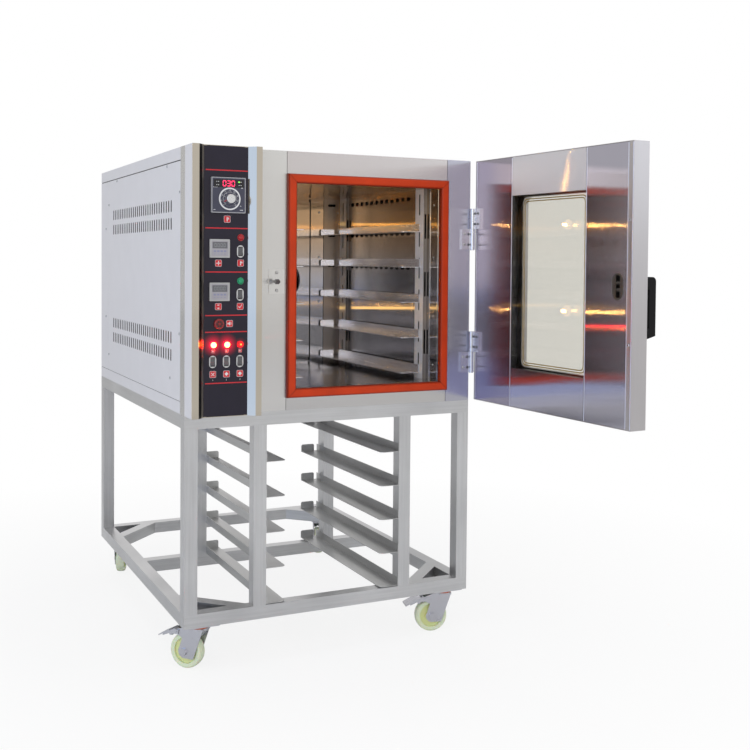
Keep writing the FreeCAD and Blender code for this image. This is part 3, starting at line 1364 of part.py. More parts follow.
def roller_catch():
    """Box behind the latch hole, with a fixing plate and upright slots that guide the roller pins."""
    back = DOOR_IN - SHEET
    deep = back - CATCH_DEEP
    inner_w = ROLLER_L / 2 + PART_GAP
    half_w = inner_w + CATCH_WALL
    shell = catch_block(half_w, CATCH_HALF_H, deep, back)
    wing = catch_block(CATCH_HOLE_W / 2 + CATCH_WING, CATCH_HOLE_H / 2 + CATCH_WING, back - CATCH_WALL, back)
    cuts = [catch_block(inner_w, CATCH_HALF_H - CATCH_WALL, deep + CATCH_WALL, back)]
    slack = ROLLER_PIN_R + RUN_GAP
    ends = ROLLER_PIN_R + PART_GAP
    for sign in (1, -1):
        low, high = sorted(CATCH_Z + sign * (ROLLER_REST + travel) for travel in (0.0, ROLLER_TRAVEL))
        cuts.append(box(CATCH_X - half_w, CATCH_X + half_w, ROLLER_Y - slack, ROLLER_Y + slack, low - ends,
                        high + ends))
    return opened(join(shell, wing).cut(group(cuts)))


def catch_roller(sign):
    z = CATCH_Z + sign * ROLLER_REST
    half = ROLLER_L / 2
    pin = half + CATCH_WALL
    wheel = rod(ROLLER_R, (CATCH_X - half, ROLLER_Y, z), (CATCH_X + half, ROLLER_Y, z))
    axle = rod(ROLLER_PIN_R, (CATCH_X - pin, ROLLER_Y, z), (CATCH_X + pin, ROLLER_Y, z))
    return opened(join(wheel, axle))


# Every node of the oven
def build_nodes():
    left_slides = stand_slides()
    left_rails = oven_rails()
    nodes = {
        "stand_posts": stand_posts(),
        "stand_top_rails": group(rail_ring(TOP_BOTTOM, STAND_H)),
        "stand_lower_frame": stand_lower_frame(),
        "stand_slides_left": group(left_slides),
        "stand_slides_right": group(mirrored(one, BODY_W / 2) for one in left_slides),
        "caster_plates": group(caster_plate(corner) for corner in CASTERS),
        "base_tray": base_tray(),
        "left_side_panel": left_side_panel(),
        "right_side_panel": right_side_panel(),
        "top_cover": top_cover(),
        "back_cover": back_cover(),
        "cable_gland": cable_gland(),
        "panel_screws": panel_screws(),
        "front_frame": front_frame(),
        "column_trim": column_trim(),
        "control_panel": control_panel(),
        "temperature_controller": temperature_controller(),
        "temperature_knob": temperature_knob(),
        "timers": timers(),
        "indicator_lamps": indicator_lamps(),
        "buzzer": buzzer(),
        "switch_bezels": switch_bezels(),
        "door_gasket": door_gasket(),
        "cavity_liner": cavity_liner(),
        "duct_panels": duct_panels(),
        "fan_baffle": fan_baffle(),
        "rack_uprights": rack_uprights(),
        "oven_rails_left": group(left_rails),
        "oven_rails_right": group(mirrored(one, CAVITY_MID_X) for one in left_rails),
        "insulation": insulation(),
        "cavity_lamps": cavity_lamps(),
        "fan_wheel": fan_wheel(),
        "fan_motor": fan_motor(),
        "ring_heater": ring_heater(),
        "latch_striker": latch_striker(),
        "hinge_body_leaves": hinge_body_leaves(),
        "hinge_door_leaves": hinge_door_leaves(),
        "door_shell": door_shell(),
        "door_inner_panels": door_inner_panels(),
        "door_glass": door_glass(),
        "window_frame": window_frame(),
        "door_handle": door_handle(),
        "roller_catch": roller_catch(),
        "catch_roller_upper": catch_roller(1),
        "catch_roller_lower": catch_roller(-1),
    }
    for number, spot in enumerate(ROCKERS):
        nodes["rocker_%d" % (number + 1)] = rocker(spot)
    for corner in CASTERS:
        nodes["caster_fork_" + corner] = caster_fork(corner)
        nodes["caster_wheel_" + corner] = caster_wheel(corner)
    for corner in BRAKED:
        nodes["brake_pedal_" + corner] = brake_pedal(corner)
    return nodes


# The origin is on the floor, under the middle of the stand
ORIGIN_SHIFT = Vector(-BODY_W / 2, -BODY_D / 2, 0)


def main():
    os.makedirs("parts", exist_ok=True)
    for name, shape in build_nodes().items():
        moved = shape.copy()
        moved.translate(ORIGIN_SHIFT)
        moved.exportStep(os.path.join("parts", name + ".step"))
        print(name, len(moved.Solids), moved.isValid(), round(moved.Volume / 1000, 1))


main()
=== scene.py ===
import json
import math

import bmesh
import bpy
from mathutils import Matrix, Vector


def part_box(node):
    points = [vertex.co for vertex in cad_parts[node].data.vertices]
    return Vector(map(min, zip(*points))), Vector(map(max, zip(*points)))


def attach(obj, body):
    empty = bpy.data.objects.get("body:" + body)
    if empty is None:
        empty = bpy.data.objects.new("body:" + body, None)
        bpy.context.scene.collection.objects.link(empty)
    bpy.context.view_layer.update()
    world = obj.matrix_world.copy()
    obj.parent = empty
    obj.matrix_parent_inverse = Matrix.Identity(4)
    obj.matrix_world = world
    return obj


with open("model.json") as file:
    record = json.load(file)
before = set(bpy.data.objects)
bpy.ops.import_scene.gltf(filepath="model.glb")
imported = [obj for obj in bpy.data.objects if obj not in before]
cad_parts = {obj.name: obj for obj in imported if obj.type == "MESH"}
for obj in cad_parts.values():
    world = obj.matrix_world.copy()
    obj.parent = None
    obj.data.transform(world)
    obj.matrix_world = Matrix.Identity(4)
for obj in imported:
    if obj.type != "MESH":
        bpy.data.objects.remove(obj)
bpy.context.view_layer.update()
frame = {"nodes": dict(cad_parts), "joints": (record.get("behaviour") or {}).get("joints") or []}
NODES = frame["nodes"]
JOINTS = {joint["name"]: joint for joint in frame["joints"]}
MM = 0.001

# Camera at the photograph's viewing angle, in metres and degrees
CAMERA_AT = (-1.2498, -3.3821, 1.1537)
CAMERA_TURN = 25.909
CAMERA_TILT = -1.684
CAMERA_ROLL = 0.462
CAMERA_LENS = 51.1
CAMERA_SHIFT = -0.111

# Places on the oven: the body's left face, the top of the stand, the front planes and the door's hinge
BODY_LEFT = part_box("left_side_panel")[0].x
STAND_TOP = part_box("base_tray")[0].z
FRONT_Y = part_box("front_frame")[0].y
PANEL_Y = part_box("control_panel")[0].y
HINGE = Vector(JOINTS["door_swing"]["pos_m"])
DOOR_OPEN = math.radians(-JOINTS["door_swing"]["range_deg"][0])
DOOR_ALONG = Matrix.Rotation(DOOR_OPEN, 3, "Z") @ Vector((-1.0, 0.0, 0.0))
# Edges of the door's window, as distances from the hinge
WINDOW_FROM = 0.192
WINDOW_TO = 0.521

# Colours as linear values
SATIN = (0.665, 0.650, 0.630)
DOOR_SKIN = (0.59, 0.565, 0.57)
# Painted shade on the front frame's lower and upper rails and on its stile by the door
FRAME_LOW_SHADE = (0.56, 0.545, 0.535)
FRAME_TOP_SHADE = (0.61, 0.57, 0.56)
FRAME_RIGHT_SHADE = (0.47, 0.465, 0.53)
TUBE = (0.60, 0.60, 0.605)
CAVITY_LOW = (0.47, 0.46, 0.475)
# Painted warm lamplight on the upper part of the cavity's steel
CAVITY_LAMPLIT = (0.50, 0.39, 0.28)
DOOR_INSIDE = (0.55, 0.53, 0.60)
# Painted reflections on the door's inside: paler over the window, darker and more violet on the hinge side
DOOR_TOP_REFLECTION = (0.66, 0.64, 0.645)
DOOR_HINGE_SIDE_REFLECTION = (0.42, 0.38, 0.44)
PAINT = (0.705, 0.685, 0.695)
ZINC = (0.58, 0.58, 0.62)
RED_INK = (0.62, 0.015, 0.025)
PALE_INK = (0.75, 0.75, 0.75)
PANEL_BLACK = (0.012, 0.009, 0.021)
SILICONE = (0.57, 0.044, 0.006)
WARM_LIGHT = (1.0, 0.53, 0.13)
LAMP_RED = (0.9, 0.0005, 0.0045)
LAMP_CORE = (0.5, 0.27, 0.03)
GOLD = (0.50, 0.31, 0.05)
# Near-black tone of painted shade in ducts, channels and on the column's bevel
PAINTED_SHADE_STEEL = (0.03, 0.028, 0.026)
WHITE = (1.0, 1.0, 1.0)

# Height of the middle of bowed sheets, in metres
BOW_MID = 1.15
# How much more level brushing spreads reflections than upright brushing
LEVEL_SPREAD = 1.4


class Nodes:
    """Adds nodes to a tree, each fed with numbers, colours or the outputs of others."""

    def __init__(self, tree):
        self.tree = tree

    def feed(self, socket, source):
        if isinstance(source, bpy.types.NodeSocket):
            self.tree.links.new(source, socket)
        elif source is not None:
            wide = hasattr(socket.default_value, "__len__") and len(socket.default_value) == 4
            socket.default_value = (*source, 1.0) if wide and len(source) == 3 else source

    def node(self, kind, *sources, output=0, **options):
        """Add a node, set its options and feed its inputs in their order."""
        made = self.tree.nodes.new("ShaderNode" + kind)
        for option, value in options.items():
            setattr(made, option, value)
        for socket, source in zip(made.inputs, sources):
            self.feed(socket, source)
        return made.outputs[output] if made.outputs else None

    def maths(self, operation, *sources):
        return self.node("Math", *sources, operation=operation)

    def vector(self, operation, *sources, output=0):
        return self.node("VectorMath", *sources, operation=operation, output=output)

    def times(self, first, second):
        return self.maths("MULTIPLY", first, second)

    def above(self, value, level):
        return self.maths("GREATER_THAN", value, level)

    def below(self, value, level):
        return self.maths("LESS_THAN", value, level)

    def within(self, value, low, high):
        """1 where a value lies between two limits, and 0 elsewhere."""
        return self.times(self.above(value, low), self.below(value, high))

    def apart(self, value, level):
        """Distance of a value from a level."""
        return self.maths("ABSOLUTE", self.maths("SUBTRACT", value, level))

    def spread(self, value, low, high, to_low=0.0, to_high=1.0):
        return self.node("MapRange", value, low, high, to_low, to_high)

    def seen(self):
        """1 for what the camera or the glass shows, and 0 for reflections and light on the oven."""
        path = self.node("LightPath")
        return self.maths("MAXIMUM", path, path.node.outputs["Is Transmission Ray"])


class Finish(Nodes):
    """A surface under construction: one Principled shader and the nodes that feed it."""

    def __init__(self, name, **sockets):
        self.material = bpy.data.materials.new(name)
        self.material.use_nodes = True
        super().__init__(self.material.node_tree)
        self.shader = self.tree.nodes["Principled BSDF"]
        self.set(**sockets)

    def socket(self, name):
        return self.shader.inputs[name.replace("_", " ").title().replace("Ior", "IOR")]

    def set(self, **sockets):
        """Feed the shader's sockets by their names."""
        for name, source in sockets.items():
            self.feed(self.socket(name), source)

    def fed(self, name):
        """What feeds one of the shader's sockets."""
        return self.socket(name).links[0].from_socket

    def place(self, stretch=None):
        """Place on the oven in metres, stretched where a pattern runs in one direction."""
        spot = self.node("TexCoord", output=3)
        return spot if stretch is None else self.node("Mapping", spot, None, None, stretch)

    def part(self, axis):
        """One of the three parts of the place."""
        return self.node("SeparateXYZ", self.place(), output="xyz".index(axis))

    def noise(self, scale, detail=3.0, stretch=None):
        return self.node("TexNoise", self.place(stretch), None, scale, detail)

    def blend(self, share, first, second):
        """Colour between two others."""
        return self.node("Mix", share, *[None] * 5, first, second, output=2, data_type="RGBA")

    def shade(self, value, tone, contrast):
        """Base colour that varies about a tone as a value goes from 0.3 to 0.7."""
        share = self.spread(value, 0.3, 0.7)
        dark = tuple(part * (1 - contrast) for part in tone)
        light = tuple(min(1.0, part * (1 + contrast)) for part in tone)
        self.set(base_color=self.blend(share, dark, light))

    def rough(self, value, low, high):
        """Roughness that goes from low to high as a value goes from 0.3 to 0.7."""
        self.set(roughness=self.spread(value, 0.3, 0.7, low, high))

    def relief(self, height, depth, normal=None):
        bump = self.tree.nodes.new("ShaderNodeBump")
        bump.inputs["Distance"].default_value = depth
        self.feed(bump.inputs["Height"], height)
        self.feed(bump.inputs["Normal"], normal)
        self.set(normal=bump.outputs[0])

    def distance(self, points, flat=None):
        """Distance in metres to the nearest of some points, measured in a plane if one is named."""
        spot = self.place()
        if flat:
            keep = tuple(0.0 if axis == flat else 1.0 for axis in "xyz")
            spot = self.vector("MULTIPLY", spot, keep)
            points = [tuple(part * use for part, use in zip(point, keep)) for point in points]
        nearest = None
        for point in points:
            away = self.vector("DISTANCE", spot, point, output=1)
            nearest = away if nearest is None else self.maths("MINIMUM", nearest, away)
        return nearest

    def scattered(self, normal, scatter, level):
        """Random tilt of a normal sideways, or up and down where a mask says level."""
        across = self.vector("NORMALIZE", self.vector("CROSS_PRODUCT", normal, (0.0, 0.0, 1.0)))
        dice = self.node("SeparateColor", self.node("TexWhiteNoise", self.place(), output=1))
        both = self.maths("ADD", dice, dice.node.outputs[1])
        tilt = self.spread(both, 0.0, 2.0, -scatter, scatter)
        if level is None:
            return self.vector("SCALE", across, None, None, tilt)
        self.set(anisotropic_rotation=self.times(level, 0.25))
        climb = self.times(self.times(tilt, LEVEL_SPREAD), level)
        run = self.times(tilt, self.maths("SUBTRACT", 1.0, level))
        rise = self.node("CombineXYZ", None, None, climb)
        return self.vector("ADD", self.vector("SCALE", across, None, None, run), rise)

    def brush(self, scatter, level=None, bow=0.0):
        """Draw reflections out sideways, as fine upright scratches do, or up and down where a mask says.

        A bowed sheet leans in above its middle and out below it, by so much per metre.
        """
        self.set(tangent=self.node("Tangent", direction_type="RADIAL", axis="Z"))
        normal = self.node("NewGeometry", output=1)
        if scatter:
            normal = self.vector("ADD", normal, self.scattered(normal, scatter, level))
        if bow:
            lean = self.times(self.maths("SUBTRACT", self.part("z"), BOW_MID), -bow)
            normal = self.vector("ADD", normal, self.node("CombineXYZ", None, None, lean))
        return self.vector("NORMALIZE", normal)


def steel(name, tone, low, high, stretch, contrast=0.06, grain=0.00002):
    """Stainless steel with brushing in one direction and cloudy patches."""
    finish = Finish(name, metallic=1.0)
    lines = finish.noise(1.0, 4.0, stretch)
    clouds = finish.noise(5.0, 3.0)
    both = finish.times(finish.maths("ADD", lines, clouds), 0.5)
    finish.shade(both, tone, contrast)
    finish.rough(lines, low, high)
    finish.relief(lines, grain)
    return finish


def tinted(finish, mask, tone=PAINTED_SHADE_STEEL):
    """Finish with another base colour where a mask is 1, near-black painted shade unless a tone is given."""
    plain = finish.fed("base_color")
    finish.set(base_color=finish.blend(mask, plain, tone))
    return finish


def drawn_steel(name, tone, low, high, wave, scatter, level=None, bow=0.0):
    """Fine brushing that draws reflections out, on thin sheet that is a little wavy.

    Where a mask made by the level function is 1, the brushing is level.
    """
    finish = Finish(name, metallic=1.0, anisotropic=1.0)
    clouds = finish.noise(3.0, 3.0)
    finish.shade(clouds, tone, 0.03)
    finish.rough(clouds, low, high)
    mask = level(finish) if level else None
    finish.relief(finish.noise(2.4, 1.0), wave, finish.brush(scatter, mask, bow))
    return finish


# Height above the stand that tells the rail over the door's window from the one below it, in metres
WINDOW_MID = 0.37


def from_hinge(finish):
    """Distance along the open door from its hinge."""
    away = finish.vector("SUBTRACT", finish.place(), HINGE)
    return finish.vector("DOT_PRODUCT", away, DOOR_ALONG, output=1)


def over_window(finish):
    """Mask of the door's rail above its window."""
    above = finish.above(finish.part("z"), STAND_TOP + WINDOW_MID)
    return finish.times(above, finish.within(from_hinge(finish), WINDOW_FROM, WINDOW_TO))


# Share of bare metal in the duller sheet over the window
TOP_METALLIC = 0.35


def door_inside_steel():
    """Drawn steel of the door's inside, brushed level, with painted reflections: paler over the window and
    darker on the hinge side.
    """
    finish = drawn_steel("door_inside", DOOR_INSIDE, 0.07, 0.09, 0.003, 0.20, over_window)
    # Painted reflection: darker, more violet tone on the hinge side
    hinge_side = finish.below(from_hinge(finish), WINDOW_FROM)
    tinted(finish, hinge_side, DOOR_HINGE_SIDE_REFLECTION)
    top = over_window(finish)
    finish.set(metallic=finish.spread(top, 0.0, 1.0, 1.0, TOP_METALLIC))
    return tinted(finish, top, DOOR_TOP_REFLECTION)


# Heights above the stand between which the cavity's steel takes painted warm lamplight, in metres
LAMPLIT_FROM = 0.36
LAMPLIT_TO = 0.56
# Lean of the cavity's sheets per metre above their middle
CAVITY_BOW = 0.05


def cavity_steel(name):
    """Drawn steel of the cavity, with painted warm lamplight in its upper part."""
    finish = drawn_steel(name, CAVITY_LOW, 0.11, 0.14, 0.002, 0.0, bow=CAVITY_BOW)
    # Painted lamplight: warmer tone with height
    lamplit_share = finish.spread(finish.part("z"), STAND_TOP + LAMPLIT_FROM, STAND_TOP + LAMPLIT_TO)
    return tinted(finish, lamplit_share, CAVITY_LAMPLIT)


def plastic(name, tone, roughness, grain=900.0, depth=0.00003, contrast=0.08, **sockets):
    """Moulded or painted surface with a fine grain."""
    finish = Finish(name, **sockets)
    speckle = finish.noise(grain, 2.0)
    finish.shade(finish.noise(14.0, 3.0), tone, contrast)
    finish.rough(speckle, roughness * 0.85, roughness * 1.15)
    finish.relief(speckle, depth)
    return finish


def dress(finish, *names):
    """Give CAD nodes a finish."""
    for name in names:
        NODES[name].data.materials.clear()
        NODES[name].data.materials.append(finish.material)


# Steels of CAD nodes: name, tone, roughness from and to, brushing, contrast and grain
UPRIGHT_BRUSH = (260.0, 260.0, 5.0)
STEELS = {
    "door_shell": ("satin_steel", DOOR_SKIN, 0.32, 0.38, UPRIGHT_BRUSH, 0.03, 0.000005),
    "stand_posts": ("tube_upright", TUBE, 0.28, 0.42, (170.0, 170.0, 4.0), 0.13),
    "stand_top_rails stand_lower_frame": ("tube_level", TUBE, 0.28, 0.42, (5.0, 5.0, 170.0), 0.13),
    "stand_slides_left stand_slides_right":
        ("slide_sheet", (0.52, 0.52, 0.515), 0.30, 0.42, (170.0, 5.0, 170.0), 0.10),
    # The catch and its rollers are toned dark as painted shade, so that its recess reads dark
    "roller_catch": ("catch_steel", (0.17, 0.17, 0.155), 0.30, 0.42, (90.0, 90.0, 90.0), 0.08, 0.000001),
    "catch_roller_upper catch_roller_lower":
        ("roller_steel", (0.14, 0.14, 0.13), 0.25, 0.40, (90.0, 90.0, 90.0), 0.15, 0.000002),
    "caster_plates fan_wheel brake_pedal_fl brake_pedal_fr "
    "caster_fork_fl caster_fork_fr caster_fork_bl caster_fork_br":
        ("zinc_plate", ZINC, 0.26, 0.32, (12.0, 12.0, 12.0), 0.04, 0.0000005),
    "hinge_body_leaves hinge_door_leaves":
        ("hinge_steel", (0.66, 0.66, 0.70), 0.20, 0.28, (30.0, 30.0, 30.0), 0.04, 0.000001),
    "ring_heater": ("heater_sheath", (0.16, 0.15, 0.14), 0.35, 0.5, (90.0, 90.0, 90.0), 0.2),
    "temperature_knob": ("knob_metal", (0.74, 0.74, 0.74), 0.25, 0.35, (300.0, 30.0, 300.0), 0.05),
}
for names, values in STEELS.items():
    dress(steel(*values), *names.split())
rail_steel = steel("rail_steel", (0.82, 0.81, 0.84), 0.18, 0.28, (40.0, 6.0, 200.0), 0.08, 0.000002)
rail_steel.set(metallic=0.85)
dress(rail_steel, "oven_rails_left", "oven_rails_right")
screw_steel = steel("screw_steel", (0.50, 0.50, 0.50), 0.20, 0.34, (200.0, 200.0, 200.0), 0.15)
dress(screw_steel, "panel_screws")
chrome = steel("bezel_chrome", (0.62, 0.62, 0.63), 0.08, 0.14, (80.0, 80.0, 80.0), 0.03)
dress(chrome, "switch_bezels")
hinge_screw = steel("hinge_screw", (0.16, 0.16, 0.17), 0.20, 0.34, (200.0, 200.0, 200.0), 0.15)
# Pale tone of the door's folded edges, a painted highlight
fold_highlight_steel = steel("fold_highlight_steel", (0.80, 0.80, 0.90), 0.30, 0.36, (30.0, 30.0, 30.0), 0.03, 0.000001)

# Plastics of CAD nodes: name, tone, roughness, grain, depth and contrast
PLASTICS = {
    "fan_motor": ("motor_enamel", (0.05, 0.055, 0.065), 0.45),
    "window_frame": ("spacer_black", (0.010, 0.010, 0.014), 0.30, 900.0, 0.00001, 0.03),
    "temperature_controller": ("instrument_case", (0.40, 0.40, 0.42), 0.38),
    "timers": ("timer_case", (0.43, 0.425, 0.42), 0.40),
    "rocker_1 rocker_2 rocker_3 rocker_4 rocker_5": ("switch_black", (0.10, 0.10, 0.105), 0.28),
    "cable_gland": ("gland_black", (0.02, 0.02, 0.02), 0.5),
    # The insulation is toned dark as painted shade for what shows through the casing's slots
    "insulation": ("mineral_wool", (0.10, 0.09, 0.07), 0.95, 350.0, 0.002, 0.25),
}
for names, values in PLASTICS.items():
    dress(plastic(*values), *names.split())
handle_black = plastic("handle_black", (0.005, 0.004, 0.005), 0.42, 700.0, 0.00004, specular_ior_level=0.18)
dress(handle_black, "door_handle")
buzzer_red = plastic("buzzer_red", (0.24, 0.004, 0.006), 0.22, coat_weight=0.4)
dress(buzzer_red, "buzzer")
window_glass = Finish("window_glass", base_color=(0.87, 0.86, 0.82), transmission_weight=1.0, ior=1.45)
window_glass.rough(window_glass.noise(40.0, 4.0), 0.0, 0.004)
dress(window_glass, "door_glass")

# Lamps: their centres across the panel, in millimetres from the body's left face and the stand's top
LAMP_UP = 197.0
LIT_LAMPS = (65.3, 103.6, 141.9)
RED_LAMP_UP = 489.4
# Height between rows of lamps that keeps them apart, in millimetres
ROW_GAP = 60.0
# Reach of a lamp's lens from its middle, and the soft edges of its bright middle, in metres
LENS_R = 0.014
CORE_EDGE = (0.0060, 0.0075)
SPOT_EDGE = (0.0015, 0.0035)
# Strength of the lens around the bright middle, and of the small spot in the dim lamp
LENS_STRENGTH = 46.0
SPOT_STRENGTH = 2.5
# Glow on the panel: its colour and strength, its edges in metres, and the share around the dim lamp
HALO_RED = (0.9, 0.0, 0.03)
HALO_STRENGTH = 1.1
HALO_EDGE = (0.006, 0.036)
DIM_EDGE = (0.006, 0.022)
DIM_SHARE = 0.5
lit_points = [(BODY_LEFT + x * MM, PANEL_Y, STAND_TOP + LAMP_UP * MM) for x in LIT_LAMPS]


def lamp_lenses():
    """Red and green lenses; the lower row is lit, bright in the middle."""
    finish = Finish("lamp_lens", roughness=0.12, coat_weight=0.3)
    height = finish.part("z")
    red_from = STAND_TOP + (RED_LAMP_UP - ROW_GAP) * MM
    lit_below = STAND_TOP + (LAMP_UP + ROW_GAP) * MM
    is_lit = finish.below(height, lit_below)
    is_red = finish.maths("MAXIMUM", is_lit, finish.above(height, red_from))
    clouds = finish.noise(300.0)
    red = finish.blend(clouds, (0.30, 0.002, 0.006), (0.50, 0.004, 0.012))
    green = finish.blend(clouds, (0.0, 0.20, 0.08), (0.001, 0.40, 0.17))
    finish.set(base_color=finish.blend(is_red, green, red))
    bright = finish.distance(lit_points[:2], "y")
    dim = finish.distance(lit_points[2:], "y")
    core = finish.spread(bright, *CORE_EDGE, 1.0, 0.0)
    spot = finish.spread(dim, *SPOT_EDGE, 1.0, 0.0)
    finish.set(emission_color=finish.blend(finish.maths("MAXIMUM", core, spot), LAMP_RED, LAMP_CORE))
    strong = finish.spread(finish.below(bright, LENS_R), 0.0, 1.0, 1.0, LENS_STRENGTH)
    level = finish.maths("ADD", strong, finish.times(spot, SPOT_STRENGTH))
    finish.set(emission_strength=finish.times(is_lit, level))
    return finish


def black_panel():
    """Gloss black sheet that takes a red glow around the lit lamps."""
    finish = plastic("black_panel", PANEL_BLACK, 0.22, 600.0, 0.00002, 0.12, specular_ior_level=0.36)
    near = finish.spread(finish.distance(lit_points[:2], "y"), *HALO_EDGE, 1.0, 0.0)
    weak = finish.spread(finish.distance(lit_points[2:], "y"), *DIM_EDGE, DIM_SHARE, 0.0)
    glow = finish.maths("POWER", finish.maths("MAXIMUM", near, weak), 2.0)
    finish.set(emission_color=HALO_RED, emission_strength=finish.times(glow, HALO_STRENGTH))
    return finish


# Cavity lamps: their radius and levels
lamps_low, lamps_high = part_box("cavity_lamps")
LAMP_R = (lamps_high.y - lamps_low.y) / 2
LAMP_LEVELS = (lamps_low.z + LAMP_R, lamps_high.z - LAMP_R)
# Half width and half height of the bright window in each, in metres
LAMP_HALF_W = 0.012
LAMP_HALF_H = 0.005
# Strength of that window and of the lens around it
LAMP_STRENGTH = 190.0
LAMP_GLOW = 1.5


def cavity_lamp_glass():
    """Frosted lens, bright in a small window in its middle."""
    finish = Finish("cavity_lamp_glass", base_color=(0.9, 0.8, 0.6), roughness=0.3)
    middle = lamps_low.y + LAMP_R
    beside = finish.apart(finish.part("y"), middle)
    height = finish.part("z")
    above = finish.maths("MINIMUM", *[finish.apart(height, level) for level in LAMP_LEVELS])
    core = finish.times(finish.below(beside, LAMP_HALF_W), finish.below(above, LAMP_HALF_H))
    finish.set(emission_strength=finish.spread(core, 0.0, 1.0, LAMP_GLOW, LAMP_STRENGTH))
    frost = finish.noise(220.0)
    finish.set(emission_color=finish.blend(frost, (1.0, 0.50, 0.12), WARM_LIGHT))
    return finish


# Depth below the outside of the casing from which its sheet takes painted shade, in metres
SKIN = 0.0005
PAINT_ROUGH = 0.42


def casing_paint():
    """Pale grey paint on the outside of the casing, with near-black painted shade inside it and in its seams
    and slots.
    """
    finish = plastic("grey_paint", PAINT, PAINT_ROUGH, 500.0, 0.00002, 0.015)
    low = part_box("left_side_panel")[0]
    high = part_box("right_side_panel")[1]
    deep = finish.within(finish.part("x"), low.x + SKIN, high.x - SKIN)
    level = finish.within(finish.part("z"), STAND_TOP + SKIN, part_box("top_cover")[1].z - SKIN)
    ahead = finish.below(finish.part("y"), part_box("back_cover")[1].y - SKIN)
    # Painted shade: all of the sheet below the outer skin is toned near black
    return tinted(finish, finish.times(finish.times(deep, level), ahead), (0.018, 0.017, 0.017))


# Left bevel of the control column, from the body's left face, and where its bright line starts after the
# painted shade, in metres
BEVEL_FROM = 0.0203
BEVEL_LINE = 0.031
BEVEL_TO = 0.0385
BEVEL_ROUGH = 0.28


def column_steel():
    """Bright steel trim of the control column, with painted shade on part of its bevel, painted like the
    casing on its outer side.
    """
    finish = steel("column_steel", (0.52, 0.47, 0.395), 0.06, 0.10, UPRIGHT_BRUSH, 0.02, 0.0000003)
    side = finish.below(finish.part("x"), BODY_LEFT + SKIN)
    smooth = finish.fed("roughness")
    tinted(finish, side, PAINT)
    across = finish.maths("SUBTRACT", finish.part("x"), BODY_LEFT)
    bevel = finish.times(finish.within(across, BEVEL_FROM, BEVEL_TO), BEVEL_ROUGH)
    dull = finish.maths("MAXIMUM", bevel, finish.times(side, PAINT_ROUGH))
    finish.set(roughness=finish.maths("MAXIMUM", smooth, dull))
    finish.set(metallic=finish.maths("SUBTRACT", 1.0, side))
    # Painted shade: near-black steel on the bevel up to its bright line
    return tinted(finish, finish.within(across, BEVEL_FROM, BEVEL_LINE))


# Width of the gasket and half that of the lines at its mitres, in metres
GASKET_W = 0.0265
MITRE_HALF_W = 0.0008
# Where the gasket's shoulders start, as a share of its width, and how dark the painted shade on them and the
# lines at its mitres are
SHOULDER_FROM = 0.28
SHOULDER_SHADE = 0.4
MITRE_SHADE = 0.25


def red_silicone():
    """Silicone rubber with painted shade on the gasket's shoulders for its rounded look, and a thin dark
    line at each mitred corner.
    """
    finish = plastic("red_silicone", SILICONE, 0.40, 300.0, 0.0001, 0.10, specular_ior_level=0.22)
    low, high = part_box("door_gasket")
    middle = (low + high) / 2
    half = (high - low) / 2
    across = finish.apart(finish.part("x"), middle.x)
    above = finish.apart(finish.part("z"), middle.z)
    off = finish.apart(finish.maths("SUBTRACT", across, above), half.x - half.z)
    inset = finish.maths("MINIMUM", finish.maths("SUBTRACT", half.x, across),
                         finish.maths("SUBTRACT", half.z, above))
    from_crest = finish.apart(inset, GASKET_W / 2)
    painted_shoulder_shade = finish.spread(from_crest, GASKET_W * SHOULDER_FROM, GASKET_W / 2)
    # Painted shade: darker towards both edges of the gasket
    tinted(finish, painted_shoulder_shade, tuple(tone * SHOULDER_SHADE for tone in SILICONE))
    mitre = finish.below(off, MITRE_HALF_W)
    return tinted(finish, mitre, tuple(tone * MITRE_SHADE for tone in SILICONE))


def cavity_liner_steel():
    """Polished inside the duct panels, with painted shade in the ducts behind them."""
    finish = cavity_steel("cavity_liner_steel")
    low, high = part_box("duct_panels")
    across = finish.part("x")
    left = finish.below(across, low.x)
    right = finish.above(across, high.x)
    # Painted shade in the ducts behind the duct panels
    return tinted(finish, finish.maths("MAXIMUM", left, right))


# Channels of the cavity's uprights: width, depth from their web's middle, and half a sheet, in metres
CHANNEL_W = 0.054
CHANNEL_IN = 0.0113
HALF_SHEET = 0.0007


def channelled(finish):
    """Finish with painted shade inside the channels of the uprights."""
    low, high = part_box("rack_uprights")
    along = finish.part("y")
    front = finish.within(along, low.y + HALF_SHEET, low.y + CHANNEL_W - HALF_SHEET)
    rear = finish.within(along, high.y - CHANNEL_W + HALF_SHEET, high.y - HALF_SHEET)
    across = finish.apart(finish.part("x"), (low.x + high.x) / 2)
    behind = finish.above(across, (high.x - low.x) / 2 - CHANNEL_IN)
    # Painted shade inside the channels
    return tinted(finish, finish.times(behind, finish.maths("MAXIMUM", front, rear)))


# Distances from the middle of the cavity to the uprights' flanges and the back wall's side strips, in metres
FLANGE_FROM = 0.2237
SIDE_STRIP_FROM = 0.174
# Finish of those side strips
SIDE_ROUGH = 0.28
SIDE_TINT = (0.30, 0.24, 0.19)
SIDE_SHARE = 0.7
# How far the striker's plate stands in front of the frame, in metres
PIN_FROM = 0.003


def from_middle(finish):
    """Distance from the upright plane through the middle of the cavity."""
    low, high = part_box("duct_panels")
    return finish.apart(finish.part("x"), (low.x + high.x) / 2)


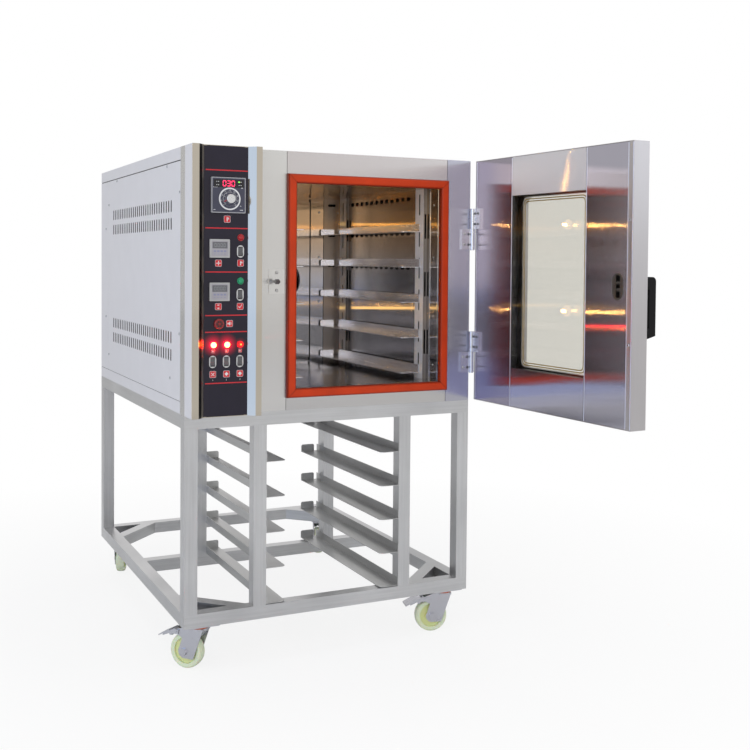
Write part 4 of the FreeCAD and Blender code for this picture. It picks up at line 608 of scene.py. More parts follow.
def upright_finish():
    """Pale web and dull flanges of the cavity's uprights, with painted shade on the flanges' front faces."""
    finish = steel("upright_steel", (0.84, 0.84, 0.87), 0.28, 0.36, UPRIGHT_BRUSH, 0.05, 0.000002)
    finish.set(metallic=0.35)
    low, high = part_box("rack_uprights")
    along = finish.part("y")
    webs = (low.y, high.y - CHANNEL_W)
    first, second = (finish.within(along, y - HALF_SHEET, y + HALF_SHEET) for y in webs)
    flange = finish.above(from_middle(finish), FLANGE_FROM)
    fronts = finish.times(flange, finish.maths("MAXIMUM", first, second))
    # Painted shade: the flanges' front faces are toned dark
    return channelled(tinted(finish, fronts, (0.20, 0.18, 0.165)))


def back_wall_steel():
    """Back wall of the cavity, duller in a strip along each side."""
    finish = cavity_steel("back_wall_steel")
    side = finish.above(from_middle(finish), SIDE_STRIP_FROM)
    finish.set(roughness=finish.maths("MAXIMUM", finish.fed("roughness"), finish.times(side, SIDE_ROUGH)))
    return tinted(finish, finish.times(side, SIDE_SHARE), SIDE_TINT)


def frame_finish():
    """Drawn steel of the front frame, with painted shade that makes it a little darker on its rails and on
    the stile by the door.
    """
    finish = drawn_steel("frame_steel", SATIN, 0.18, 0.22, 0.002, 0.10)
    low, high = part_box("door_gasket")
    between = finish.within(finish.part("x"), low.x, high.x)
    height = finish.part("z")
    below = finish.below(height, low.z)
    above = finish.above(height, high.z)
    # Painted shade on the rails and on the stile by the door
    tinted(finish, finish.times(between, below), FRAME_LOW_SHADE)
    tinted(finish, finish.times(between, above), FRAME_TOP_SHADE)
    return tinted(finish, finish.above(finish.part("x"), high.x), FRAME_RIGHT_SHADE)


def striker_finish():
    """Plate like the front frame, with a dark polished pin."""
    finish = steel("striker_steel", SATIN, 0.20, 0.28, UPRIGHT_BRUSH, 0.03, 0.000002)
    pin = finish.below(finish.part("y"), FRONT_Y - PIN_FROM)
    return tinted(finish, pin, (0.22, 0.22, 0.23))


# Distances from a wheel's middle between which its hub gives way to the tread, in metres
RIM_FROM = 0.033
RIM_TO = 0.041


def wheel_nylon(corner):
    """Pale tread around a yellower hub."""
    low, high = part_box("caster_wheel_" + corner)
    finish = Finish("wheel_nylon_" + corner, roughness=0.34, subsurface_weight=0.15, subsurface_scale=0.01)
    share = finish.spread(finish.distance([tuple((low + high) / 2)]), RIM_FROM, RIM_TO)
    clouds = finish.noise(60.0)
    hub = finish.blend(clouds, (0.72, 0.75, 0.33), (0.80, 0.83, 0.42))
    tread = finish.blend(clouds, (0.70, 0.76, 0.52), (0.78, 0.83, 0.62))
    finish.set(base_color=finish.blend(share, hub, tread))
    finish.relief(finish.noise(400.0), 0.0001)
    return finish


CORNERS = ("fl", "fr", "bl", "br")
for corner in CORNERS:
    dress(wheel_nylon(corner), "caster_wheel_" + corner)
dress(casing_paint(), "base_tray", "left_side_panel", "right_side_panel", "top_cover", "back_cover")
dress(striker_finish(), "latch_striker")
dress(frame_finish(), "front_frame")
dress(column_steel(), "column_trim")
dress(back_wall_steel(), "fan_baffle")
dress(channelled(cavity_steel("duct_steel")), "duct_panels")
dress(cavity_liner_steel(), "cavity_liner")
dress(upright_finish(), "rack_uprights")
dress(door_inside_steel(), "door_inner_panels")
dress(red_silicone(), "door_gasket")
dress(lamp_lenses(), "indicator_lamps")
dress(black_panel(), "control_panel")
dress(cavity_lamp_glass(), "cavity_lamps")


class Piece:
    """Collects plates, rings and turned heads drawn in millimetres on one face of the oven."""

    def __init__(self, place):
        self.mesh = bmesh.new()
        self.place = place

    def loop(self, outline, out):
        return [self.mesh.verts.new((x, up, out)) for x, up in outline]

    def skin(self, first, second):
        count = len(first)
        for here in range(count):
            after = (here + 1) % count
            self.mesh.faces.new((first[here], first[after], second[after], second[here]))

    def plate(self, outline, low, high):
        """Flat plate between two heights above the face."""
        bottom = self.loop(outline, low)
        top = self.loop(outline, high)
        self.mesh.faces.new(bottom)
        self.mesh.faces.new(top)
        self.skin(bottom, top)

    def ring(self, outer, inner, low, high):
        """Plate with a hole of the same number of points."""
        bounds = ((outer, low), (outer, high), (inner, high), (inner, low))
        loops = [self.loop(outline, out) for outline, out in bounds]
        for here, after in zip(loops, loops[1:] + loops[:1]):
            self.skin(here, after)

    def turned(self, x, up, profile, steps=20):
        """Round head from (radius, height) pairs, closed at both ends."""
        loops = [self.loop(circle(x, up, radius, steps), out) for radius, out in profile]
        for below, above in zip(loops, loops[1:]):
            self.skin(below, above)
        self.mesh.faces.new(loops[0])
        self.mesh.faces.new(loops[-1])

    def bead(self, x, low, high, radius, rise, steps=6):
        """Low rounded bead that stands upright between two heights."""
        turns = [math.pi * number / steps for number in range(steps + 1)]
        curve = [(x + radius * math.cos(turn), rise * math.sin(turn)) for turn in turns]
        ends = [[self.mesh.verts.new((across, up, out)) for across, out in curve] for up in (low, high)]
        self.skin(*ends)
        for end in ends:
            self.mesh.faces.new(end)

    def figures(self, text, x, up, height, out, turn=0.0):
        """Line of plain figures centred on a point."""
        curve = bpy.data.curves.new("figures", "FONT")
        curve.body = text
        curve.size = height
        curve.align_x = "CENTER"
        curve.align_y = "CENTER"
        curve.resolution_u = 2
        curve.extrude = PRINT_T / 2
        holder = bpy.data.objects.new("figures", curve)
        outline = bpy.data.meshes.new_from_object(holder)
        place = Matrix.Translation((x, up, out)) @ Matrix.Rotation(turn, 4, "Z")
        outline.transform(place)
        self.mesh.from_mesh(outline)
        bpy.data.objects.remove(holder)
        bpy.data.curves.remove(curve)
        bpy.data.meshes.remove(outline)

    def made(self, name, finish, body="root", slot=None):
        """Turn the drawing into a piece of the oven that rides on a body."""
        bmesh.ops.transform(self.mesh, matrix=self.place, verts=self.mesh.verts)
        bmesh.ops.recalc_face_normals(self.mesh, faces=self.mesh.faces)
        data = bpy.data.meshes.new(name)
        self.mesh.to_mesh(data)
        self.mesh.free()
        data.materials.append(finish.material)
        piece = bpy.data.objects.new(name, data)
        bpy.context.scene.collection.objects.link(piece)
        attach(piece, body)


def circle(x, up, radius, steps=32):
    turns = [2 * math.pi * number / steps for number in range(steps)]
    return [(x + radius * math.cos(turn), up + radius * math.sin(turn)) for turn in turns]


def rectangle(x, up, width, height, radius=0.0, steps=5):
    """Rectangle about a centre, with rounded corners if a radius is given."""
    if not radius:
        right = width / 2
        top = height / 2
        return [(x - right, up - top), (x + right, up - top), (x + right, up + top), (x - right, up + top)]
    points = []
    for corner, (right, top) in enumerate(((1, 1), (-1, 1), (-1, -1), (1, -1))):
        cx = x + right * (width / 2 - radius)
        cy = up + top * (height / 2 - radius)
        for step in range(steps + 1):
            turn = math.pi / 2 * (corner + step / steps)
            points.append((cx + radius * math.cos(turn), cy + radius * math.sin(turn)))
    return points


def polar(x, up, turn, reach, aside=0.0):
    """Point at a reach from a centre in one direction, and so far to the left of it."""
    along = Vector((math.cos(turn), math.sin(turn)))
    return tuple(Vector((x, up)) + along * reach + Vector((-along.y, along.x)) * aside)


def spoke(x, up, turn, near, far, half):
    """Outline of a bar of a half width that runs out from a centre."""
    corners = ((near, -half), (far, -half), (far, half), (near, half))
    return [polar(x, up, turn, *corner) for corner in corners]


def facing_front(y, out=-MM):
    """Millimetre drawing plane on a face that looks to the front: right, up and out of it."""
    return Matrix(((MM, 0, 0, BODY_LEFT), (0, 0, out, y), (0, MM, 0, STAND_TOP), (0, 0, 0, 1)))


def facing_in(depth):
    """Drawing plane on the inside of the open door, a depth in millimetres ahead of the front plane."""
    closed = facing_front(FRONT_Y - depth * MM, MM)
    swing = Matrix.Translation(HINGE) @ Matrix.Rotation(DOOR_OPEN, 4, "Z") @ Matrix.Translation(-HINGE)
    return swing @ closed


def plates(name, finish, place, outlines, low, high, slot=None):
    """Piece of flat plates between two heights above a face of the body."""
    piece = Piece(place)
    for outline in outlines:
        piece.plate(outline, low, high)
    piece.made(name, finish, "root", slot)


# Low domed screw with a dark socket, as (radius, height) pairs for a radius of 1
SCREW = ((1.0, 0.0), (1.0, 0.25), (0.8, 0.5), (0.35, 0.55), (0.3, 0.2))


def heads(name, finish, place, spots, body="root", scale=4.0, shape=SCREW):
    """Piece of equal round heads, turned from a scaled shape."""
    piece = Piece(place)
    for x, up in spots:
        piece.turned(x, up, [(radius * scale, out * scale) for radius, out in shape])
    piece.made(name, finish, body, "screw_steel")


def ink(name, tone):
    return plastic(name, tone, 0.45, 800.0, 0.00001, 0.05)


def lit(name, tone, strength):
    finish = Finish(name, base_color=tone, roughness=0.3, emission_strength=strength)
    dimmer = tuple(part * 0.9 for part in tone)
    finish.set(emission_color=finish.blend(finish.noise(400.0), dimmer, tone))
    return finish


red_ink = ink("red_ink", RED_INK)
pale_ink = ink("pale_ink", PALE_INK)
dark_face = ink("dark_face", (0.052, 0.052, 0.082))
window_black = plastic("display_black", (0.008, 0.007, 0.009), 0.15, 800.0, 0.00001)
lcd_grey = plastic("lcd_grey", (0.14, 0.14, 0.15), 0.25, 800.0, 0.00001)
timer_plate = ink("timer_plate", (0.37, 0.35, 0.375))
key_blue = ink("key_blue", (0.25, 0.26, 0.38))
lcd_figure = ink("lcd_figure", (0.27, 0.27, 0.28))
gold_line = ink("gold_line", GOLD)
seal_orange = plastic("seal_orange", (0.55, 0.12, 0.04), 0.45)
# Near black for painted shade in holes and gaps
painted_shade_black = plastic("painted_shade_black", (0.012, 0.010, 0.010), 0.5)
red_digit = lit("red_digit", (1.0, 0.03, 0.12), 1.6)
green_led = lit("green_led", (0.25, 0.9, 0.10), 1.2)

# Control panel: printed lines and icons
PRINT_T = 0.12
PANEL_MID = 102.0
LINE_W = 119.0
LINE_H = 3.0
LINE_UPS = (670.8, 514.0, 395.0, 277.0, 231.8, 92.4)
on_sheet = facing_front(PANEL_Y)
lines = [rectangle(PANEL_MID, up, LINE_W, LINE_H) for up in LINE_UPS]
plates("panel_lines", red_ink, on_sheet, lines, 0.0, PRINT_T)

ICON = 17.0
SMALL_ICON = 9.0
SMALL_ICON_UP = 179.5
# Tiles as (across, up, size, mark)
ICONS = [(103.3, 538.7, ICON, "heat"), (79.3, 419.0, ICON, "clock"), (141.9, 419.6, ICON, "heat"),
         (79.3, 301.0, ICON, "ring"), (141.3, 301.0, ICON, "tick"), (111.3, 254.4, ICON, "sound")]
ICONS += [(x, SMALL_ICON_UP, SMALL_ICON, "bars") for x in LIT_LAMPS]
ICONS += [(64.4, 117.0, ICON, "cross"), (103.0, 117.0, ICON, "diamond"), (141.5, 117.0, ICON, "diamond")]
# Corners and rim of a tile, as shares of its size
TILE_ROUND = 0.14
RIM_ROUND = 0.18
RIM_SIZE = 1.08


def bar(x0, x1, up0, up1):
    return [(x0, up0), (x1, up0), (x1, up1), (x0, up1)]


# Marks as outlines in a square that reaches from -1 to 1
MARKS = {
    "heat": [bar(-0.16, 0.16, -0.7, 0.6), bar(0.3, 0.6, -0.1, 0.5)],
    "clock": [bar(-0.7, 0.7, -0.12, 0.12), bar(-0.12, 0.12, 0.2, 0.7), bar(-0.12, 0.12, -0.7, -0.2)],
    "ring": [[(-0.5, -0.5), (0.0, -0.7), (0.5, -0.5), (0.0, -0.3)],
             [(-0.5, 0.5), (0.0, 0.3), (0.5, 0.5), (0.0, 0.7)]],
    "tick": [[(-0.6, -0.1), (-0.2, -0.6), (-0.05, -0.4), (-0.45, 0.1)],
             [(-0.1, -0.35), (0.1, -0.35), (0.65, 0.6), (0.45, 0.6)]],
    "sound": [bar(-0.7, -0.3, -0.25, 0.25), [(-0.2, -0.3), (0.2, -0.7), (0.2, 0.7), (-0.2, 0.3)],
              bar(0.4, 0.58, -0.4, 0.4)],
    "bars": [bar(-0.6, -0.3, -0.5, 0.5), bar(-0.1, 0.2, -0.5, 0.5)],
    "cross": [[(-0.6, -0.45), (-0.45, -0.6), (0.6, 0.45), (0.45, 0.6)],
              [(-0.6, 0.45), (-0.2, 0.05), (-0.05, 0.2), (-0.45, 0.6)],
              [(0.05, -0.2), (0.45, -0.6), (0.6, -0.45), (0.2, -0.05)]],
    "diamond": [[(0.0, -0.65), (0.65, 0.0), (0.0, 0.65), (-0.65, 0.0)]],
}
tiles = Piece(on_sheet)
marks = Piece(on_sheet)
for x, up, size, mark in ICONS:
    tile = rectangle(x, up, size, size, size * TILE_ROUND, 3)
    tiles.plate(tile, 0.0, PRINT_T)
    marks.ring(rectangle(x, up, size * RIM_SIZE, size * RIM_SIZE, size * RIM_ROUND, 3), tile, 0.0, PRINT_T)
    for outline in MARKS[mark]:
        marks.plate([(x + a * size / 2, up + b * size / 2) for a, b in outline], PRINT_T, 2 * PRINT_T)
tiles.made("icon_tiles", red_ink)
marks.made("icon_marks", pale_ink)

# Plain figures that number the switches
FIGURE_UP = 101.0
FIGURE_H = 6.0
SWITCH_X = (64.4, 103.0, 141.5)
numbers = Piece(on_sheet)
for number, x in enumerate(SWITCH_X):
    numbers.figures(str(number + 1), x, FIGURE_UP, FIGURE_H, PRINT_T)
numbers.made("switch_numbers", pale_ink)

# Temperature controller: dark face, display with red figures
CONTROL_X = 104.9
CONTROL_UP = 603.4
CONTROL_PROUD = 8.0
CONTROL_FACE = 91.5
FACE_T = 0.4
DISPLAY_UP = 634.9
DISPLAY_W = 85.0
DISPLAY_H = 21.0
DIGIT_H = 14.0
DIGIT_W = 8.0
DIGIT_STEP = 12.2
STROKE = 2.0
SEGMENTS = {"0": "abcdef", "3": "abcdg"}
DIAL = (107.3, 593.3)
DIAL_R = 30.5
DIAL_ROOM = 0.1
FACE_ROUND = 2.0
# Heights above the controller: the display's front, and prints on it
DISPLAY_T = 2 * FACE_T
ON_DISPLAY = (DISPLAY_T, DISPLAY_T + PRINT_T)


def segment_figure(piece, x, up, height, width, stroke, digit, low, high):
    """One seven-segment figure about a centre."""
    top = height / 2
    side = width / 2
    length = top - stroke
    bars = {"a": (0, top, width, stroke), "g": (0, 0, width, stroke), "d": (0, -top, width, stroke),
            "f": (-side, top / 2, stroke, length), "b": (side, top / 2, stroke, length),
            "e": (-side, -top / 2, stroke, length), "c": (side, -top / 2, stroke, length)}
    for name in SEGMENTS[digit]:
        dx, dy, wide, tall = bars[name]
        piece.plate(rectangle(x + dx, up + dy, wide, tall), low, high)


on_controller = facing_front(PANEL_Y - CONTROL_PROUD * MM)
face = Piece(on_controller)
face.ring(rectangle(CONTROL_X, CONTROL_UP, CONTROL_FACE, CONTROL_FACE, FACE_ROUND, 8),
          circle(*DIAL, DIAL_R + DIAL_ROOM, 36), 0.0, FACE_T)
face.made("controller_face", dark_face)
display = rectangle(CONTROL_X, DISPLAY_UP, DISPLAY_W, DISPLAY_H, 1.0, 3)
plates("controller_display", window_black, on_controller, [display], FACE_T, DISPLAY_T)
digits = Piece(on_controller)
for number, digit in enumerate("030"):
    x = CONTROL_X + (number - 1) * DIGIT_STEP
    segment_figure(digits, x, DISPLAY_UP, DIGIT_H, DIGIT_W, STROKE, digit, *ON_DISPLAY)
digits.made("controller_digits", red_digit)
# Green light on the display: its place from the display's middle and its size
LED_X = 29.0
LED_RISE = 4.5
LED_W = 4.5
LED_H = 3.0
led = rectangle(CONTROL_X + LED_X, DISPLAY_UP + LED_RISE, LED_W, LED_H)
plates("controller_led", green_led, on_controller, [led], *ON_DISPLAY)
# Small pale marks: on the display as (across, up), on the face as (across, up, width)
DISPLAY_MARKS = ((-34.0, 4.5), (-29.0, 4.5), (-34.0, -4.5), (-29.0, -4.5), (34.5, 4.5), (34.5, -4.5),
                 (29.0, -4.5))
FACE_MARKS = ((-37.5, 21.0, 12.0), (37.5, 20.0, 5.0), (-40.0, -40.0, 5.0), (36.0, -40.0, 9.0),
              (33.5, -29.0, 3.5))
MARK_W = 2.6
MARK_H = 1.6
dots = Piece(on_controller)
for dx, dy in DISPLAY_MARKS:
    dots.plate(rectangle(CONTROL_X + dx, DISPLAY_UP + dy, MARK_W, MARK_H), *ON_DISPLAY)
for dx, dy, width in FACE_MARKS:
    dots.plate(rectangle(CONTROL_X + dx, CONTROL_UP + dy, width, MARK_H), FACE_T, FACE_T + PRINT_T)
dots.made("controller_marks", pale_ink)

# Dial: pale rim and numbered disc on the controller, dark skirt with a red pointer on the knob
RIM_R = 26.6
RIM_T = 0.2
SKIRT_R = 19.8
GRIP_R = 12.5
SPINDLE_R = 3.2
SKIRT_T = 1.2
DISC_T = 0.15
DISC_BACK = 0.3
NUMBER_R = 23.4
NUMBER_H = 4.2
DIAL_NUMBERS = range(0, 450, 50)
DIAL_START = math.radians(225.0)
DIAL_SWEEP = math.radians(270.0)
POINTER_TURN = DIAL_START - DIAL_SWEEP * 30 / 400
POINTER_HALF_W = 1.3
POINTER_TO = SKIRT_R - 0.2
POINTER_T = 0.15
# Ticks on the skirt, every fifth one long, as (inner end, half width), and the height of their tops
TICK_COUNT = 41
TICK_TO = SKIRT_R - 0.6
LONG_TICK = (SKIRT_R - 4.4, 0.35)
SHORT_TICK = (SKIRT_R - 2.6, 0.22)
ON_TICKS = DISC_T + 0.1


def dial_turn(step, steps):
    """Angle of one of the steps around the dial."""
    return DIAL_START - DIAL_SWEEP * step / (steps - 1)


def dial_ring(place, outer, inner, high):
    """Flat ring about the dial's middle."""
    ring = Piece(place)
    ring.ring(circle(*DIAL, outer, 48), circle(*DIAL, inner, 48), 0.0, high)
    return ring


knob_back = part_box("temperature_knob")[1].y
on_dial = facing_front(knob_back + DISC_BACK * MM)
dial_ring(on_dial, RIM_R, SPINDLE_R, DISC_T).made("dial_disc", dark_face)
dial_ring(on_dial, DIAL_R, RIM_R, RIM_T).made("dial_ring", pale_ink)
scale = Piece(on_dial)
for number, value in enumerate(DIAL_NUMBERS):
    turn = dial_turn(number, len(DIAL_NUMBERS))
    scale.figures(str(value), *polar(*DIAL, turn, NUMBER_R), NUMBER_H, DISC_T, turn - math.pi / 2)
scale.made("dial_numbers", pale_ink)
on_skirt = facing_front(knob_back - SKIRT_T * MM)
dial_ring(on_skirt, SKIRT_R, GRIP_R, DISC_T).made("knob_skirt", dark_face, "knob")
ticks = Piece(on_skirt)
for number in range(TICK_COUNT):
    inner, half = SHORT_TICK if number % 5 else LONG_TICK
    outline = spoke(*DIAL, dial_turn(number, TICK_COUNT), inner, TICK_TO, half)
    ticks.plate(outline, DISC_T, ON_TICKS)
ticks.made("dial_ticks", pale_ink, "knob")
pointer = Piece(on_skirt)
corners = ((GRIP_R, POINTER_HALF_W), (GRIP_R, -POINTER_HALF_W), (POINTER_TO, 0.0))
pointer.plate([polar(*DIAL, POINTER_TURN, *corner) for corner in corners], ON_TICKS, ON_TICKS + POINTER_T)
pointer.made("dial_pointer", red_ink, "knob")

# Timers: inner plate, display with faint figures and a row of keys with a line under each
TIMER_X = 81.2
TIMER_UPS = (458.8, 341.3)
TIMER_PROUD = 7.0
TIMER_PLATE = (47.0, 42.0, 1.5, 3)
PLATE_T = 0.3
SCREEN = (42.0, 18.0, 1.0, 3)
SCREEN_RISE = 9.0
SCREEN_T = 0.5
FAINT_STEP = 8.4
FAINT_SIZE = (9.0, 4.6, 1.0)
FAINT_T = 0.05
KEY_STEP = 9.6
KEY_DROP = 7.5
KEY = (7.0, 5.0, 1.2, 3)
KEY_T = 0.4
UNDERLINE_DROP = 15.0
UNDERLINE = (6.0, 1.4)
UNDERLINE_T = 0.1
on_timer = facing_front(PANEL_Y - TIMER_PROUD * MM)
fronts = [rectangle(TIMER_X, up, *TIMER_PLATE) for up in TIMER_UPS]
plates("timer_plates", timer_plate, on_timer, fronts, 0.0, PLATE_T)
screens = [rectangle(TIMER_X, up + SCREEN_RISE, *SCREEN) for up in TIMER_UPS]
plates("timer_displays", lcd_grey, on_timer, screens, PLATE_T, SCREEN_T)
faint = Piece(on_timer)
keys = Piece(on_timer)
for up in TIMER_UPS:
    for column in (-1.5, -0.5, 0.5, 1.5):
        segment_figure(faint, TIMER_X + column * FAINT_STEP, up + SCREEN_RISE, *FAINT_SIZE, "0",
                       SCREEN_T, SCREEN_T + FAINT_T)
        x = TIMER_X + column * KEY_STEP
        keys.plate(rectangle(x, up - KEY_DROP, *KEY), PLATE_T, PLATE_T + KEY_T)
        keys.plate(rectangle(x, up - UNDERLINE_DROP, *UNDERLINE), PLATE_T, PLATE_T + UNDERLINE_T)
faint.made("timer_figures", lcd_figure)
keys.made("timer_keys", key_blue)

# Buzzer: sounding hole drawn as a disc of painted shade behind radial ribs and a small boss
BUZZER = (80.9, 253.8)
BUZZER_PROUD = 7.0
HOLE_R = 9.0
HOLE_T = 0.15
RIBS = 6
RIB_FROM = 2.4
RIB_HALF_W = 0.9
RIB_T = 0.8
BOSS = [(3.2, HOLE_T), (3.2, RIB_T), (2.2, 1.3)]
on_buzzer = facing_front(PANEL_Y - BUZZER_PROUD * MM)
# Painted shade in the buzzer's sounding hole
plates("buzzer_hole", painted_shade_black, on_buzzer, [circle(*BUZZER, HOLE_R, 28)], 0.0, HOLE_T, "buzzer_red")
ribs = Piece(on_buzzer)
for number in range(RIBS):
    turn = 2 * math.pi * (number + 0.5) / RIBS
    ribs.plate(spoke(*BUZZER, turn, RIB_FROM, HOLE_R, RIB_HALF_W), HOLE_T, RIB_T)
ribs.turned(*BUZZER, BOSS)
ribs.made("buzzer_ribs", buzzer_red, "root", "buzzer_red")

# Screws of the hinges: the second column on the body's leaves, both columns on the door's
LEAF_H = 62.5
LEAF_T = 7.0
LEAF_GAP = 0.5
LEAF_SCREW_STEP = 32.0
LEAF_SCREW_X = (877.0, 891.0)
HINGE_UPS = (87.5, 465.5)
DOOR_GAP = 17.0
leaf_ups = [base + LEAF_H / 2 + side * LEAF_SCREW_STEP for base in HINGE_UPS for side in (-0.5, 0.5)]
body_spots = [(LEAF_SCREW_X[1], up) for up in leaf_ups]
door_spots = [(x, up + LEAF_H + LEAF_GAP) for up in leaf_ups for x in LEAF_SCREW_X]
heads("hinge_screws_body", hinge_screw, facing_front(FRONT_Y - LEAF_T * MM), body_spots)
heads("hinge_screws_door", hinge_screw, facing_in(DOOR_GAP - LEAF_T), door_spots, "door")

# Screws on the cavity's back wall and on its raised cover, as (across, up)
WALL_SCREWS = [(x, up) for x in (712.6, 401.4) for up in (603.0, 440.0, 279.0)]
WALL_SCREWS += [(786.8, 603.0), (786.8, 275.0)]
COVER_SCREWS = [(x, up) for x in (620.0, 494.0) for up in (439.0, 275.0)]
COVER_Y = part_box("fan_baffle")[0].y
COVER_STEP = 10.0
on_back_wall = facing_front(COVER_Y + COVER_STEP * MM)
heads("wall_screws", screw_steel, on_back_wall, WALL_SCREWS)
heads("cover_screws", screw_steel, facing_front(COVER_Y), COVER_SCREWS)

# Screws of the striker plate and rivets along the free edge of the door
STRIKER_SPOTS = ((265.0, 343.0), (265.0, 393.0))
STRIKER_SCREW_R = 5.0
STRIKER_T = 1.5
on_striker = facing_front(FRONT_Y - STRIKER_T * MM)
heads("striker_screws", screw_steel, on_striker, STRIKER_SPOTS, scale=STRIKER_SCREW_R)
RIVET_SPOTS = ((213.0, 537.6), (213.0, 220.8))
RIVET = ((4.5, 0.0), (4.2, 0.8), (2.6, 1.6))
heads("door_rivets", screw_steel, facing_in(DOOR_GAP), RIVET_SPOTS, "door", 1.0, RIVET)

# Folded edges of the sheets on the inside of the door, pale-toned as a painted highlight
FOLDS = (203.6, 220.6, 381.0, 713.6, 894.0)
FOLD_UPS = (6.0, 733.0)
FOLD_R = 1.3
FOLD_RISE = 0.45
folds = Piece(facing_in(DOOR_GAP))
for x in FOLDS:
    folds.bead(x, *FOLD_UPS, FOLD_R, FOLD_RISE)
folds.made("door_folds", fold_highlight_steel, "door", "polished_steel")

# Painted shadow lines in the gaps beside the raised cover on the back wall, and at the edges of its side
# strips
COVER_MID = 557.0
WALL_SHADOW_LINES = ((114.5, 123.0), (172.5, 175.0))
COVER_UPS = (66.0, 648.0)
shadow_lines = []
for side in (-1, 1):
    for near, far in WALL_SHADOW_LINES:
        ends = sorted((COVER_MID + side * near, COVER_MID + side * far))
        shadow_lines.append(bar(*ends, *COVER_UPS))
plates("wall_shadow_lines", painted_shade_black, on_back_wall, shadow_lines, 0.0, PRINT_T, "polished_steel")

# Trim strips at the front of the cavity's right wall, with screws: edges behind the front plane
WALL_T = 1.5
WALL_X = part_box("duct_panels")[1].x - WALL_T * MM
STRIPS = ((8.0, 14.0), (57.0, 63.0))
STRIP_UPS = (63.0, 651.0)
STRIP_T = 0.8
STRIP_SPOTS = [(36.0, up) for up in (110.0, 260.0, 440.0, 600.0)]
STRIP_SCREW_R = 3.5
on_wall = Matrix(((0, 0, -MM, WALL_X), (MM, 0, 0, FRONT_Y), (0, MM, 0, STAND_TOP), (0, 0, 0, 1)))
strips = [bar(*ends, *STRIP_UPS) for ends in STRIPS]
plates("wall_strips", chrome, on_wall, strips, 0.0, STRIP_T, "polished_steel")
heads("strip_screws", screw_steel, on_wall, STRIP_SPOTS, scale=STRIP_SCREW_R)

# Two gold lines around the outer pane, on its inside
PANE_X = 547.5
PANE_UP = 370.0
PANE_W = 293.0
PANE_H = 496.0
PANE_ROUND = 20.0
PANE_DEPTH = 44.0
LINE_INSETS = (5.5, 12.0)
GOLD_W = 2.8
GOLD_T = 0.2
pane_lines = Piece(facing_in(PANE_DEPTH))
for inset in LINE_INSETS:
    edges = [rectangle(PANE_X, PANE_UP, PANE_W - 2 * more, PANE_H - 2 * more, PANE_ROUND - more / 2)
             for more in (inset, inset + GOLD_W)]
    pane_lines.ring(*edges, 0.0, GOLD_T)
pane_lines.made("pane_lines", gold_line, "door", "window_black")

# Seal rings under the caster plates
RACE_R = 26.0
SEAL_R = 27.2
SEAL_LOW = 121.0
SEAL_HIGH = 125.0
seals = Piece(Matrix.Diagonal((MM, MM, MM, 1.0)))
for corner in CORNERS:
    x, y, _ = JOINTS["swivel_" + corner]["pos_m"]
    seals.ring(circle(x / MM, y / MM, SEAL_R), circle(x / MM, y / MM, RACE_R), SEAL_LOW, SEAL_HIGH)
seals.made("caster_seals", seal_orange, "root", "zinc")

# Floor: its size and tone, and the distances over which it fades into the white background, in metres
FLOOR_SIZE = 40.0
FLOOR_GREY = (0.86, 0.86, 0.86)
FADE_FROM = 0.8
FADE_TO = 2.2
NEAR_WHITE = 0.84


def studio_floor():
    """Pale floor that shows the oven's shadow close to it and fades into the white background."""
    material = bpy.data.materials.new("studio_floor")
    material.use_nodes = True
    nodes = Nodes(material.node_tree)
    nodes.tree.nodes.clear()
    away = nodes.vector("LENGTH", nodes.node("TexCoord", output=3), output=1)
    share = nodes.times(nodes.seen(), nodes.spread(away, FADE_FROM, FADE_TO, NEAR_WHITE, 1.0))
    matt = nodes.node("BsdfDiffuse", FLOOR_GREY)
    white = nodes.node("Emission", WHITE)
    nodes.node("OutputMaterial", nodes.node("MixShader", share, matt, white))
    return material


bpy.ops.mesh.primitive_plane_add(size=FLOOR_SIZE)
floor = bpy.context.object
floor.name = "floor"
floor.data.materials.append(studio_floor())


def soft_light(name, at, aim, width, height, power, tone):
    light = bpy.data.lights.new(name, "AREA")
    light.shape = "RECTANGLE"
    light.size = width
    light.size_y = height
    light.energy = power
    light.color = tone
    lamp = bpy.data.objects.new(name, light)
    lamp.location = at
    lamp.rotation_euler = (Vector(aim) - Vector(at)).to_track_quat("-Z", "Y").to_euler()
    bpy.context.scene.collection.objects.link(lamp)


# Studio lights as (name, place, width, height, watts, colour), turned to the oven's middle
MIDDLE = (0.0, 0.0, 0.8)
LIGHTS = (
    ("key_light", (-2.8, -4.2, 2.4), 3.0, 3.0, 46.0, (1.0, 0.97, 0.91)),
    ("left_light", (-4.2, -1.6, 1.4), 2.8, 2.8, 29.0, (0.32, 0.56, 1.0)),
    ("front_light", (1.8, -5.0, 1.4), 3.0, 3.0, 7.6, (1.0, 1.0, 0.98)),
    ("right_light", (3.6, -3.2, 2.6), 2.0, 2.4, 18.0, (0.80, 0.88, 1.0)),
    ("blue_light", (-2.1, -4.7, 0.94), 0.30, 0.05, 0.35, (0.12, 0.36, 1.0)),
    ("low_light", (-2.0, -4.2, 0.22), 2.4, 0.4, 3.0, (0.26, 0.40, 1.0)),
    ("back_light", (0.6, 4.7, 1.7), 4.0, 2.0, 9.0, (1.0, 0.97, 0.97)),
    ("top_light", (0.0, -0.4, 4.0), 3.0, 3.0, 30.0, WHITE),
)
for name, at, *rest in LIGHTS:
    soft_light(name, at, MIDDLE, *rest)

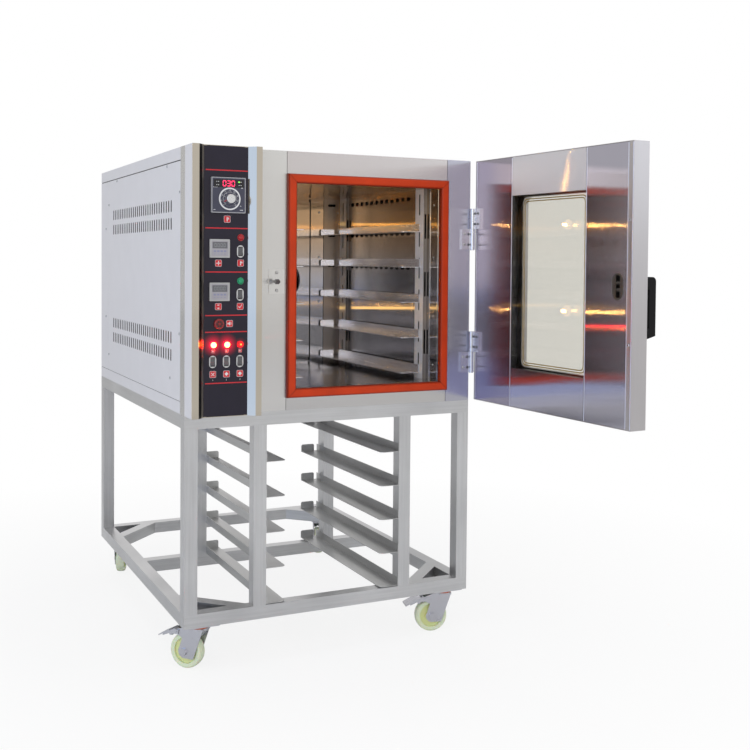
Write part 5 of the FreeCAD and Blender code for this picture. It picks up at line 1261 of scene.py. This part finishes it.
# Glow of the cavity lamps along the back wall and across the opening, in metres and watts
GLOW_T = 0.009
GLOW_TONE = (1.0, 0.58, 0.14)
BACK_GLOW_Y = COVER_Y - 0.005
FRONT_GLOW_Y = FRONT_Y + 0.012
GLOWS = (("back_glow", 0.107, BACK_GLOW_Y, FRONT_GLOW_Y, 0.44, (0.026, 0.014)),
         ("front_glow", 0.21, FRONT_GLOW_Y, BACK_GLOW_Y, 0.24, (0.024, 0.024)))
for name, x, near, far, width, powers in GLOWS:
    for number, (level, power) in enumerate(zip(LAMP_LEVELS, powers)):
        ends = ((x, near, level), (x, far, level))
        soft_light("%s_%d" % (name, number), *ends, width, GLOW_T, power, GLOW_TONE)
# Glow of the lit row of lamps towards the open door
RED_GLOW = (-0.25, FRONT_Y - 0.05, STAND_TOP + LAMP_UP * MM + 0.012)
RED_GLOW_AIM = (HINGE.x, HINGE.y - 0.5, RED_GLOW[2])
soft_light("red_glow", RED_GLOW, RED_GLOW_AIM, 0.2, GLOW_T, 0.05, (1.0, 0.002, 0.03))

# World: white where it is seen, dimmer as light on the oven
AMBIENT = 0.62
world = bpy.data.worlds.new("studio")
bpy.context.scene.world = world
world.use_nodes = True
sky = Nodes(world.node_tree)
sky.tree.nodes.clear()
level = sky.spread(sky.seen(), 0.0, 1.0, AMBIENT, 1.0)
sky.node("OutputWorld", sky.node("Background", WHITE, level))

# Camera
lens = bpy.data.cameras.new("camera")
lens.lens = CAMERA_LENS
lens.sensor_width = 36.0
lens.shift_y = CAMERA_SHIFT
lens.clip_end = 100.0
camera = bpy.data.objects.new("camera", lens)
bpy.context.scene.collection.objects.link(camera)
camera.matrix_world = (Matrix.Translation(CAMERA_AT) @ Matrix.Rotation(-math.radians(CAMERA_TURN), 4, "Z")
                       @ Matrix.Rotation(math.radians(90.0 + CAMERA_TILT), 4, "X")
                       @ Matrix.Rotation(math.radians(CAMERA_ROLL), 4, "Z"))
bpy.context.scene.camera = camera
bpy.context.scene.view_settings.view_transform = "Standard"
